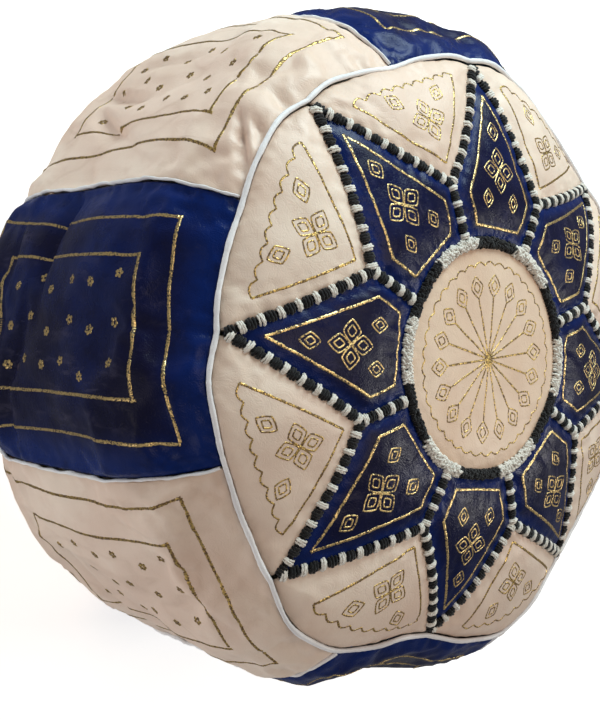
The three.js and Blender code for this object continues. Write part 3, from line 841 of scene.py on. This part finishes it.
def piping(name, line_of, seed):
    """Leather rolled round a cord, along line_of(azimuth)."""
    count = 1400
    azimuth = np.arange(count) * TURN / count
    centres = line_of(azimuth)
    across = np.stack([np.cos(azimuth), np.sin(azimuth), 0 * azimuth], -1)
    up = np.broadcast_to([0.0, 0.0, 1.0], centres.shape)
    swell = 1 + 0.07 * ripple(centres, 14 * MM, seed) + 0.035 * ripple(centres, 4 * MM, seed + 1)
    section = round_section(14, 1.85 * PIPING, 1.85 * PIPING) * swell[:, None, None]
    pile = Pile()
    pile.add(*sweep(centres, across, up, section, closed=True))
    pile.piece(name, [WHITE], "white_leather", [name])


def seam_welt(k):
    """The thin folded strip in the seam after side panel k."""
    along = np.linspace(PIPING + 1.5 * MM, SIDE - PIPING - 1.5 * MM, 150)
    wave = 0.5 * MM * np.sin(along / (11 * MM) + 2 * k) + 0.3 * MM * np.sin(along / (4.3 * MM) + k)
    azimuth = panel_middle(k) + HALF + wave / BASE_R
    centres = side_skin(azimuth, along, 2.1 * MM)
    forward = unit(np.gradient(centres, axis=0))
    up = normals_of(smooth_side, azimuth, along, HAIR / BASE_R, HAIR)
    across = unit(np.cross(forward, up))
    swell = 1 + 0.15 * ripple(centres, 9 * MM, 70 + k)
    section = round_section(8, 2.0 * MM, 3.4 * MM) * swell[:, None, None]
    pile = Pile()
    pile.add(*sweep(centres, across, unit(np.cross(across, forward)), section))
    pile.piece(f"side_seam_welt_{k}", [WHITE], "white_leather", [f"side_seam_welt_{k}"])


# ---------------------------------------------------------------- embroidery


def arches(pile, plan, side, half_width, height, thickness, shade, tilt, foot=-0.7 * MM):
    """Threads laid over a seam of the top, from one side of it to the other.

    plan holds their middles, side the unit direction across the seam, and the sizes and
    shade one number for each thread. tilt turns each one about its middle."""
    turned = np.stack([side[:, 0] * np.cos(tilt) - side[:, 1] * np.sin(tilt),
                       side[:, 0] * np.sin(tilt) + side[:, 1] * np.cos(tilt)], -1)
    steps = np.linspace(0, math.pi, 11)
    across = -np.cos(steps)[None, :] * half_width[:, None]
    lift = foot + (height[:, None] - foot) * np.sin(steps)[None, :] ** 0.75
    x = plan[:, :1] + turned[:, :1] * across
    y = plan[:, 1:] + turned[:, 1:] * across
    out = normals_of(smooth_top, x, y, HAIR, HAIR)
    centres = smooth_top(x, y) + out * lift[..., None]
    forward = unit(np.gradient(centres, axis=1))
    beside = np.stack([-turned[:, 1], turned[:, 0], 0 * tilt], -1)[:, None, :]
    beside = unit(beside - forward * np.sum(beside * forward, -1, keepdims=True))
    above = np.cross(forward, beside)
    sides = 6
    angle = np.arange(sides) * TURN / sides
    radius = thickness[:, None, None, None] / 2
    ring = beside[:, :, None] * np.cos(angle)[:, None] + above[:, :, None] * np.sin(angle)[:, None]
    lumpy = 1 + 0.27 * np.sin(6.6 * steps[None, :] + 5 * plan[:, :1] / MM)
    points = centres[:, :, None] + ring * radius * lumpy[:, :, None, None]
    one = grid_quads(len(steps), sides, wrap_columns=True)
    end = np.arange(sides)
    one = np.concatenate([one, ladder(end), ladder(end[::-1] + (len(steps) - 1) * sides)])
    each = len(steps) * sides
    for value in (0, 1):
        chosen = np.flatnonzero(shade == value)
        if len(chosen):
            quads = one[None] + np.arange(len(chosen))[:, None, None] * each
            pile.add(points[chosen], quads.reshape(-1, 4), value)


BLOB = 6.5 * MM  # length of seam that one knot of three threads covers


def knotted_seam(pile, start, end, first, seed):
    """Alternating white and black knots from start to end. first is 0 for white."""
    draw = np.random.default_rng(seed)
    start, end = np.array(start), np.array(end)
    length = np.linalg.norm(end - start)
    blobs = max(1, round(length / BLOB))
    pitch = length / blobs
    number = np.arange(3 * blobs)
    blob = number // 3
    inside = number % 3 - 1
    along = (blob + 0.5) * pitch + inside * np.where((blob + first) % 2, 1.95, 1.3) * MM
    along = along + draw.normal(0, 0.12 * MM, len(number))
    way = (end - start) / length
    plan = start + way * along[:, None]
    side = np.broadcast_to([-way[1], way[0]], plan.shape)
    shade = (blob + first) % 2
    white = shade == 0
    fuller = np.where(inside == 0, 1.0, 0.86)
    half = np.where(white, 4.1, 3.5) * MM * fuller * draw.uniform(0.92, 1.08, len(number))
    height = np.where(white, 3.2, 2.5) * MM * fuller * draw.uniform(0.92, 1.08, len(number))
    thickness = np.where(white, 1.75, 2.1) * MM * draw.uniform(0.9, 1.1, len(number))
    arches(pile, plan, side, half, height, thickness, shade, draw.normal(0, 0.07, len(number)))


def core(pile, start, end):
    """The dark ridge of thread under the knots."""
    share = np.linspace(0, 1, 40)[:, None]
    plan = np.array(start) + (np.array(end) - start) * share
    x, y = plan.T
    up = normals_of(smooth_top, x, y, HAIR, HAIR)
    centres = smooth_top(x, y)
    forward = unit(np.gradient(centres, axis=0))
    pile.add(*sweep(centres, unit(np.cross(forward, up)), up, round_section(8, 4.6 * MM, 3 * MM)), 1)


def star_braid(k):
    """The knotted seams of star point k: medallion to notch, on to the tip, back to the next notch."""
    middle = panel_middle(k)
    start = polar(MEDALLION + BAND / 2, middle - HALF)
    notch = polar(NOTCH, middle - HALF)
    tip = polar(TIP - 1.5 * MM, middle)
    next_notch = polar(NOTCH, middle + HALF)
    pile = Pile()
    for number, (a, b, first) in enumerate([(start, notch, 0), (notch, tip, 1), (tip, next_notch, 0)]):
        core(pile, a, b)
        knotted_seam(pile, a, b, first, 100 + 10 * k + number)
    pile.piece(f"star_braid_{k}", [WHITE_THREAD, BLACK_THREAD], "braid_thread", [f"star_braid_{k}"])


def medallion_ring():
    """Twelve lengths of looped yarn round the medallion, black and white in turn.

    Flat wraps lie across the seam, and short loops stand on them every way."""
    draw = np.random.default_rng(7)
    pile = Pile()
    wraps, loops = 240, 1260
    for count, spread, band, size, fat in ((wraps, 0.12, 0.3, 3.9, 1.7), (loops, 1.2, 3.7, 1.15, 1.7)):
        azimuth = (np.arange(count) + draw.normal(0, 0.3, count)) * TURN / count
        twelfth = (azimuth + draw.normal(0, 0.008, count) + TURN / 24) // (TURN / 12)
        shade = np.where(twelfth % 2 == 0, 1, 0)
        white = shade == 0
        wander = draw.uniform(-band, band, count) * np.where(white, 1.1, 0.9) * MM
        bulge = 0.8 * MM * np.cos(6 * azimuth)
        plan = np.stack(polar(MEDALLION + wander - bulge, azimuth), -1)
        side = np.stack([np.cos(azimuth), np.sin(azimuth)], -1)
        half = size * np.where(white, 1.08, 0.95) * MM * draw.uniform(0.85, 1.15, count)
        rim = 1 - (wander / (5.4 * MM)) ** 2
        height = np.where(white, 3.6, 3.1) * MM * rim * draw.uniform(0.85, 1.15, count)
        height -= 1.2 * MM if count == wraps else 0
        thickness = fat * MM * draw.uniform(0.85, 1.15, count)
        foot = 0.6 * MM if count == loops else -0.7 * MM
        arches(pile, plan, side, half, height, thickness, shade, draw.normal(0, spread, count), foot)
    azimuth = np.arange(240) * TURN / 240
    centres = smooth_top(*polar(MEDALLION - 0.8 * MM * np.cos(6 * azimuth), azimuth))
    across = np.stack([np.cos(azimuth), np.sin(azimuth), 0 * azimuth], -1)
    up = np.broadcast_to([0.0, 0.0, 1.0], centres.shape)
    pile.add(*sweep(centres, across, up, round_section(8, 5.4 * MM, 3.4 * MM), closed=True), 1)
    name = "medallion_ring_braid"
    pile.piece(name, [WHITE_THREAD, BLACK_THREAD], "braid_thread", [name])


# ---------------------------------------------------------------- gold tooling


def on_top(azimuth):
    """Places lengths out from the middle and across, round an azimuth of the top."""
    def place(out, across, lift):
        x = out * math.cos(azimuth) - across * math.sin(azimuth)
        y = out * math.sin(azimuth) + across * math.cos(azimuth)
        return top_skin(x, y, lift)
    return place


def on_side(panel):
    """Places lengths across from a side panel's middle and up from its base seam."""
    def place(across, along, lift):
        radius = np.interp(along, LENGTHS, PROFILE_R)
        return side_skin(panel_middle(panel) + across / radius, along, lift)
    return place


def resampled(path, step, closed):
    """Points about step apart along a path."""
    path = np.asarray(path, float)
    if closed:
        path = np.concatenate([path, path[:1]])
    lengths = np.concatenate([[0], np.cumsum(np.linalg.norm(np.diff(path, axis=0), axis=1))])
    count = max(6, int(round(lengths[-1] / step)))
    at = np.linspace(0, lengths[-1], count + 1)[: count if closed else None]
    return np.stack([np.interp(at, lengths, path[:, i]) for i in (0, 1)], -1)


def tooled_line(pile, place, path, width, seed, closed=False, shade=0, step=0.85 * MM):
    """A rolled or stamped line of foil, rough-edged and ribbed across."""
    draw = np.random.default_rng(seed)
    path = resampled(path, step, closed)
    if closed:
        way = np.roll(path, -1, axis=0) - np.roll(path, 1, axis=0)
    else:
        way = np.gradient(path, axis=0)
    way = unit(way)
    side = np.stack([-way[:, 1], way[:, 0]], -1)
    count = len(path)
    rough = 1 + draw.uniform(-0.24, 0.24, (count, 2))
    share = np.array([-1.0, -0.55, 0.0, 0.55, 1.0])
    reach = np.where(share < 0, rough[:, :1], rough[:, 1:]) * share * width / 2
    ribs = 0.1 * MM * np.where(np.arange(count) % 2, 1, -1) + draw.normal(0, 0.03 * MM, count)
    lift = np.array([-0.12, 0.20, 0.27, 0.20, -0.12]) * MM + np.outer(ribs, [0, 1, 1, 1, 0])
    flat = path[:, None] + side[:, None] * reach[..., None]
    upper = place(flat[..., 0], flat[..., 1], lift)
    under = place(path[:, 0], path[:, 1], -0.7 * MM + np.zeros(count))
    points = np.concatenate([upper, under[:, None]], axis=1)
    quads = grid_quads(count, 6, wrap_rows=closed, wrap_columns=True)
    if not closed:
        first = np.arange(6)
        quads = np.concatenate([quads, ladder(first), ladder(first[::-1] + (count - 1) * 6)])
    pile.add(points, quads, shade)


def dab(pile, place, a, b, length, width, turn, shade=0, height=0.28 * MM):
    """A small raised oval of foil."""
    angle = np.arange(8) * TURN / 8
    loops = []
    for size, lift in ((1.0, -0.3 * MM), (0.7, height)):
        along = size * length / 2 * np.cos(angle)
        across = size * width / 2 * np.sin(angle)
        pa = a + along * math.cos(turn) - across * math.sin(turn)
        pb = b + along * math.sin(turn) + across * math.cos(turn)
        loops.append(place(pa, pb, np.full(8, lift)))
    low_ring, high_ring = np.arange(8), np.arange(8) + 8
    wall = np.stack([low_ring, np.roll(low_ring, -1), np.roll(high_ring, -1), high_ring], -1)
    pile.add(np.concatenate(loops), np.concatenate([wall, ladder(high_ring), ladder(low_ring[::-1])]), shade)


def diamond(a, b, length, width, turn, bow=0.12):
    """A diamond outline with slightly curved sides, centred on (a, b)."""
    corners = [(length / 2, 0), (0, width / 2), (-length / 2, 0), (0, -width / 2)]
    path = []
    for start, end in zip(corners, corners[1:] + corners[:1]):
        for share in np.linspace(0, 1, 8, endpoint=False):
            swell = 1 + bow * math.sin(math.pi * share)
            path.append([(start[i] + (end[i] - start[i]) * share) * swell for i in (0, 1)])
    path = np.array(path)
    c, s = math.cos(turn), math.sin(turn)
    return np.stack([a + path[:, 0] * c - path[:, 1] * s, b + path[:, 0] * s + path[:, 1] * c], -1)


def double_diamond(pile, place, a, b, length, width, turn, seed, shade=0):
    """A stamp of two diamonds, one inside the other."""
    for number, size in enumerate((1.0, 0.5)):
        outline = diamond(a, b, length * size, width * size, turn)
        tooled_line(pile, place, outline, 1.4 * MM, seed + number, True, shade, 1.0 * MM)


def four_diamonds(pile, place, a, b, size, seed, shade=0):
    """A stamp of four double diamonds round a dot."""
    for quarter in range(4):
        turn = quarter * TURN / 4
        reach = 0.56 * size
        double_diamond(pile, place, a + reach * math.cos(turn), b + reach * math.sin(turn),
                       size, 0.82 * size, turn, seed + 2 * quarter, shade)
    dab(pile, place, a, b, 2.4 * MM, 2.4 * MM, 0, shade)


def inset(corners, distances):
    """The corners of a convex outline, anticlockwise, with each side moved in."""
    corners = np.array(corners)
    ways = unit(np.roll(corners, -1, axis=0) - corners)
    inward = np.stack([-ways[:, 1], ways[:, 0]], -1)
    starts = corners + inward * np.array(distances)[:, None]
    found = []
    for i in range(len(corners)):
        p, t, q, s = starts[i - 1], ways[i - 1], starts[i], ways[i]
        share = np.linalg.solve(np.stack([t, -s], -1), q - p)[0]
        found.append(p + t * share)
    return np.array(found)


KITE_MARGINS = np.array([17, 14.5, 17, 14.5, 17]) * MM  # in from each seam, anticlockwise from the tip
KITE_POINT = TIP - 24 * MM  # radius of the tooled kite's own tip


def kite_tooling(k):
    """The gold of a star point: a kite round four diamonds, one further out and two further in."""
    place = on_top(panel_middle(k))
    pile = Pile()
    notch, base = polar(NOTCH, HALF), polar(MEDALLION, HALF)
    corners = [(TIP, 0), notch, base, (base[0], -base[1]), (notch[0], -notch[1])]
    outline = inset(corners, KITE_MARGINS)
    outline[0] = (KITE_POINT, 0)
    for number in range(5):
        edge = [outline[number], outline[(number + 1) % 5]]
        tooled_line(pile, place, edge, 2.5 * MM, 300 + 20 * k + number)
    double_diamond(pile, place, 169 * MM, 0, 14.5 * MM, 11.5 * MM, 0, 460 + 20 * k)
    four_diamonds(pile, place, 140 * MM, 0, 16 * MM, 600 + 20 * k)
    for side in (-1, 1):
        double_diamond(pile, place, 118 * MM, side * 15 * MM, 14 * MM, 11 * MM, 0, 760 + 4 * k + side)
    pile.piece(f"star_point_tooling_{k}", [GOLD], "blue_leather")


def scallops(start, end, count, depth, bow=0.0):
    """Points of a scalloped line whose bumps stand to the right of start to end."""
    start, end = np.array(start), np.array(end)
    share = np.linspace(0, 1, 10 * count + 1)
    side = unit(np.array([end[1] - start[1], start[0] - end[0]]))
    out = depth * np.abs(np.sin(math.pi * count * share)) + bow * np.sin(math.pi * share)
    return start + (end - start) * share[:, None] + side * out[:, None]


TRIANGLE_MARGINS = np.array([12, 11, 11, 12]) * MM  # in from each side, anticlockwise from the notch
TRIANGLE_LINE = 77 * MM  # length of the two lines that meet near the notch


def triangle_tooling(k):
    """The gold of a cream patch: two lines, a scalloped one between their ends, and three stamps."""
    place = on_top(panel_middle(k) + HALF)
    pile = Pile()
    corner = polar(TIP, HALF)
    corners = [(NOTCH, 0), (corner[0], -corner[1]), (corner[0] + 30 * MM, 0), corner]
    outline = inset(corners, TRIANGLE_MARGINS)
    inner = outline[0]
    slope = math.atan2(outline[3][1], outline[3][0] - inner[0])
    turns = [-slope + math.radians(8), slope - math.radians(2)]
    ends = [inner + TRIANGLE_LINE * np.array([math.cos(turn), math.sin(turn)]) for turn in turns]
    for number, end in enumerate(ends):
        tooled_line(pile, place, [inner, end], 2.2 * MM, 900 + 20 * k + number)
    rim = scallops(ends[0], ends[1], 9, 3.2 * MM, 8 * MM)
    tooled_line(pile, place, rim, 1.5 * MM, 1100 + k)
    four_diamonds(pile, place, 184 * MM, 0, 16 * MM, 1200 + 20 * k)
    for side, across in ((-1, -22 * MM), (1, 25 * MM)):
        turn = side * math.radians(50)
        double_diamond(pile, place, 201 * MM, across, 15.5 * MM, 12 * MM, turn, 1400 + 4 * k + side)
    pile.piece(f"star_triangle_tooling_{k}", [PALE_GOLD], "cream_leather")


SPOKES = 18
SPOKE_STAMPS = 55 * MM  # radius of the ring of diamonds at the ends of the spokes
LOBES = 38
LOBE_RING = 70 * MM
LOBE_DEPTH = 2.8 * MM


def medallion_tooling():
    """The gold of the medallion: spokes that end in diamonds, and a scalloped ring round them."""
    pile = Pile()
    for number in range(SPOKES):
        place = on_top(number * TURN / SPOKES)
        tooled_line(pile, place, [(3 * MM, 0), (SPOKE_STAMPS - 8 * MM, 0)], 1.8 * MM, 1600 + number)
        double_diamond(pile, place, SPOKE_STAMPS, 0, 16.5 * MM, 13 * MM, 0, 1700 + 2 * number)
    place = on_top(0)
    turn = np.arange(LOBES * 10) * TURN / (LOBES * 10)
    radius = LOBE_RING + LOBE_DEPTH * np.abs(np.sin(turn * LOBES / 2))
    tooled_line(pile, place, np.stack(polar(radius, turn), -1), 1.4 * MM, 1800, True)
    for number in range(9):
        turn = number * TURN / 9
        dab(pile, place, 2 * MM * math.cos(turn), 2 * MM * math.sin(turn), 5 * MM, 1.8 * MM, turn)
    dab(pile, place, 0, 0, 4 * MM, 4 * MM, 0, height=0.5 * MM)
    pile.piece("medallion_tooling", [PALE_GOLD], "cream_leather")


def flower(pile, place, a, b, size, turn, petals):
    """A stamp of petals round its middle."""
    for number in range(petals):
        angle = turn + number * TURN / petals
        reach = 0.29 * size
        dab(pile, place, a + reach * math.cos(angle), b + reach * math.sin(angle),
            0.5 * size, 0.42 * size, angle)


# Tooled frames of a side panel, in mm: half width, distance from the top seam, and length.
TOOLED_FRAMES = [(79, 33, 222), (51, 54, 169)]
FRAME_TAPER = 0.94  # width of a frame at its top, as a share of that at its foot
LEAN = {0: 0.09, 3: -0.03, 6: 0.02}  # slope across a side panel of its tooled frames
SHIFT = {1: -9 * MM, 4: 3 * MM}  # how far a side panel's frames stand off its middle


def panel_tooling(k):
    """The gold of a side panel: two frames, one inside the other, and rows of small flowers."""
    place = on_side(k)
    pile = Pile()
    draw = np.random.default_rng(40 + k)
    for ring, (half, top_margin, length) in enumerate(TOOLED_FRAMES):
        half, high_end = half * MM, SIDE - top_margin * MM
        low_end = high_end - length * MM
        narrow = FRAME_TAPER * half
        corners = [(-half, low_end), (half, low_end), (narrow, high_end), (-narrow, high_end)]
        corners = [(across + SHIFT.get(k, 0.0), along + LEAN.get(k, 0.0) * across)
                   for across, along in corners]
        for number in range(4):
            start, end = np.array(corners[number]), np.array(corners[(number + 1) % 4])
            slip = draw.normal(0, 1.0 * MM, 2)
            over = unit(end - start) * draw.uniform(0, 3) * MM
            seed = 2000 + 40 * k + 4 * ring + number
            tooled_line(pile, place, [start + slip, end + slip + over], 2.8 * MM, seed)
    for row in range(6):
        along = SIDE - (72 + 26 * row) * MM
        for column in range(3):
            across = (column - 1 + (0.17 if row % 2 else -0.17)) * 29 * MM + SHIFT.get(k, 0.0)
            spot = np.array([across, along]) + draw.normal(0, 2 * MM, 2)
            flower(pile, place, spot[0], spot[1], 7.5 * MM, draw.uniform(0, TURN), 5 + row % 2)
    material, slot = ((GOLD, "blue_leather"), (PALE_GOLD, "cream_leather"))[k % 2]
    pile.piece(f"side_panel_tooling_{k}", [material], slot)


# ---------------------------------------------------------------- base, bag and filling

SLOT_HALF_LENGTH = 132 * MM
SLOT_HALF_WIDTH = 9 * MM
DISH = 8 * MM
DISH_RADIUS = 146 * MM
FOOT_INNER = DISH_RADIUS + 24 * MM


def smooth_base(x, y):
    """The base before its wrinkles: a dish, the flat ring that it stands on, and the curve up to the rim."""
    radius = np.hypot(x, y)
    slope = np.clip((FOOT_INNER - radius) / (FOOT_INNER - DISH_RADIUS), 0, 1)
    slope = slope * slope * (3 - 2 * slope)
    rim = np.maximum(0, radius - FOOT) / (BASE_R - FOOT)
    return np.stack([x, y, DISH * slope + BASE_Z * rim**2], -1)


def base_skin(x, y, lift):
    """The base, moved down by lift."""
    smooth = smooth_base(x, y)
    down = -normals_of(smooth_base, x, y, HAIR, HAIR)
    radius = np.hypot(x, y)
    wrinkle = np.abs(ripple(smooth, 30 * MM, 31)) * 0.5 + np.abs(ripple(smooth, 11 * MM, 32)) * 0.15
    azimuth = np.arctan2(y, x)
    gather = (1 + np.sin(azimuth * 71 + 2 * np.sin(azimuth * 9))) * np.exp((radius - BASE_R) / (14 * MM))
    return smooth + down * (lift - (wrinkle + 0.5 * gather) * MM)[..., None]


def base_half(name, side):
    """Half of the base, on one side (-1 or 1) of the zip's slot, which runs along X."""
    reach = BASE_R - PIPING - 0.4 * MM
    left = -reach * np.cos(np.linspace(math.radians(4), math.acos(SLOT_HALF_LENGTH / reach), 26))
    middle = np.linspace(-SLOT_HALF_LENGTH + 0.05 * MM, SLOT_HALF_LENGTH - 0.05 * MM, 80)
    x = np.concatenate([left, middle, -left[::-1]])
    start = np.where(np.abs(x) < SLOT_HALF_LENGTH, SLOT_HALF_WIDTH, 0.4 * MM)
    end = np.sqrt(reach**2 - x**2)
    share = eased(0, 1, 1 / 60, 0.3)[:, None]
    y = side * (start + (end - start) * share)
    x = x + 0 * share
    if side < 0:
        x, y = x[:, ::-1], y[:, ::-1]
    outer = base_skin(x, y, np.zeros_like(x))
    edge = np.minimum(BASE_R - np.hypot(x, y), np.abs(y))
    leather_piece(name, outer, edge, CREAM, "cream_leather")


def zip_stitching():
    """Two rows of stitches that hold the zip's tapes under the base."""
    pile = Pile()
    for side in (-1, 1):
        for row in (3.0, 6.0):
            for x in np.arange(-SLOT_HALF_LENGTH - 6 * MM, SLOT_HALF_LENGTH + 6 * MM, 4.2 * MM):
                y = side * (SLOT_HALF_WIDTH + row * MM)
                dab(pile, base_skin, x, y, 3.2 * MM, 0.9 * MM, 0, 0, 0.3 * MM)
    pile.piece("zip_stitching", [WHITE_THREAD], "braid_thread")


EASE = 19 * MM  # how far the bag and the filling shrink, to clear the leather that is pushed in most


def copied(node, material, cuts, lump, seed):
    """A finer copy of a CAD solid, pushed in by EASE and by random folds up to lump deep."""
    source = frame["nodes"][node]
    mesh = source.data.copy()
    made = bpy.data.objects.new(f"{node}_cloth", mesh)
    bpy.context.collection.objects.link(made)
    mesh.materials.clear()
    mesh.materials.append(material)
    weld = made.modifiers.new("weld", "WELD")
    weld.merge_threshold = 0.01 * MM
    finer = made.modifiers.new("finer", "SUBSURF")
    finer.subdivision_type = "SIMPLE"
    finer.levels = cuts
    finer.render_levels = cuts
    evaluated = made.evaluated_get(bpy.context.evaluated_depsgraph_get())
    mesh = bpy.data.meshes.new_from_object(evaluated)
    made.modifiers.clear()
    made.data = mesh
    points = np.empty(len(mesh.vertices) * 3, np.float32)
    mesh.vertices.foreach_get("co", points)
    points = points.reshape(-1, 3).astype(float)
    middle = np.array([0, 0, RING_Z / 2])
    depth = lump * (0.5 + 0.5 * np.clip(ripple(points, 45 * MM, seed), -1, 1)) + EASE
    depth *= np.clip((points[:, 2] - 20 * MM) / (20 * MM), 0, 1)
    points += unit(middle - points) * depth[:, None]
    mesh.vertices.foreach_set("co", points.astype(np.float32).ravel())
    mesh.update()
    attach(made, BODY)
    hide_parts(node)


# ---------------------------------------------------------------- the whole object


def on_rings(radius, azimuth):
    return smooth_top(*polar(radius, azimuth))


def on_heights(along, azimuth):
    return smooth_side(azimuth, along)


COVER_COLUMNS = 256
TOP_ROWS = np.linspace(6 * MM, RING, 36)
SIDE_ROWS = np.linspace(0, SIDE, 56)

round_about = FIRST + np.arange(COVER_COLUMNS) * TURN / COVER_COLUMNS
stuff("top", on_rings, TOP_ROWS, round_about,
      lambda radius, azimuth: top_seam_distance(*polar(radius, azimuth)), 3 * MM, 0.012)
stuff("side", on_heights, SIDE_ROWS, round_about,
      lambda along, azimuth: side_seam_distance(azimuth, along), 6 * MM, 0.018)

medallion()
medallion_ring()
medallion_tooling()
for k in range(PANELS):
    star_point(k)
    star_triangle(k)
    star_braid(k)
    kite_tooling(k)
    triangle_tooling(k)
    side_panel(k)
    seam_welt(k)
    panel_tooling(k)
piping("top_piping", lambda azimuth: smooth_side(azimuth, SIDE + 0 * azimuth), 50)
piping("base_piping", lambda azimuth: smooth_side(azimuth, 0 * azimuth), 60)
base_half("base_half_front", -1)
base_half("base_half_back", 1)
zip_stitching()
copied("insert_bag", CALICO, 2, 3 * MM, 81)
copied("filling", WADDING, 3, 3 * MM, 82)

for label in ("front", "back"):
    for node, material in ((f"zip_tape_{label}", TAPE), (f"zip_teeth_{label}", BRASS)):
        frame["nodes"][node].data.materials.clear()
        frame["nodes"][node].data.materials.append(material)
for node in ("zip_stop_open", "zip_stop_closed", "zip_slider", "zip_pull_tab"):
    frame["nodes"][node].data.materials.clear()
    frame["nodes"][node].data.materials.append(BRASS)

# ---------------------------------------------------------------- studio


def floor():
    """A pale floor that the gloss of the leather doesn't show."""
    mesh = bpy.data.meshes.new("floor")
    reach = 30.0
    z = -0.2 * MM
    corners = [(-reach, -reach, z), (reach, -reach, z), (reach, reach, z), (-reach, reach, z)]
    mesh.from_pydata(corners, [], [(0, 1, 2, 3)])
    made = bpy.data.objects.new("floor", mesh)
    bpy.context.collection.objects.link(made)
    m = Recipe("floor")
    mesh.materials.append(m.finish(Base_Color=(0.9, 0.9, 0.9, 1), Roughness=0.9,
                                   Emission_Color=(1, 1, 1, 1), Emission_Strength=0.68))
    made.visible_glossy = False


def softbox(name, place, target, width, height, power, colour):
    """A rectangular light at place that shines at target."""
    light = bpy.data.lights.new(name, "AREA")
    light.shape = "RECTANGLE"
    light.size = width
    light.size_y = height
    light.energy = power
    light.color = colour
    made = bpy.data.objects.new(name, light)
    back = unit(np.array(place, float) - np.array(target, float))
    right = unit(np.cross([0, 0, 1], back))
    made.matrix_world = pose(place, right, np.cross(back, right), back)
    bpy.context.collection.objects.link(made)


def pose(place, right, up, back):
    """The matrix that stands an object at place with these axes."""
    columns = [list(right) + [0], list(up) + [0], list(back) + [0], list(place) + [1]]
    return Matrix(columns).transposed()


def camera():
    """Looks down at the star from in front, turned a quarter so that -X is up in the picture."""
    target = np.array([0.0113, -0.0837, 0.2273])
    azimuth, elevation, roll = math.radians(1.24), math.radians(47.75), math.radians(93.61)
    distance = 0.9236
    back = np.array([math.sin(azimuth) * math.cos(elevation),
                     -math.cos(azimuth) * math.cos(elevation), math.sin(elevation)])
    level = np.array([math.cos(azimuth), math.sin(azimuth), 0])
    upright = np.cross(back, level)
    right = math.cos(roll) * level + math.sin(roll) * upright
    lens = bpy.data.cameras.new("camera")
    lens.lens = 59.8
    lens.sensor_width = 36
    lens.clip_start = 0.01
    made = bpy.data.objects.new("camera", lens)
    made.matrix_world = pose(target + back * distance, right, np.cross(back, right), back)
    bpy.context.collection.objects.link(made)
    bpy.context.scene.camera = made


def world(strength):
    """An even white glow from all round."""
    made = bpy.data.worlds.new("studio")
    made.use_nodes = True
    made.node_tree.nodes["Background"].inputs["Color"].default_value = (1, 1, 1, 1)
    made.node_tree.nodes["Background"].inputs["Strength"].default_value = strength
    bpy.context.scene.world = made


floor()
world(0.18)
middle = (0, 0, 0.2)
softbox("key", (-1.2, 0.1, 0.9), middle, 0.9, 0.7, 18, (0.78, 0.97, 1.0))
softbox("overhead", (-0.1, -0.2, 2.1), middle, 1.1, 1.1, 7.0, (1.0, 0.82, 0.66))
softbox("front", (0.9, -1.7, 0.5), middle, 0.8, 0.6, 2.5, (1.0, 0.9, 0.84))
softbox("glint", (0.15, 1.3, 1.6), middle, 0.5, 0.35, 7, (1.0, 0.97, 0.92))
camera()
bpy.context.scene.view_settings.view_transform = "Standard"
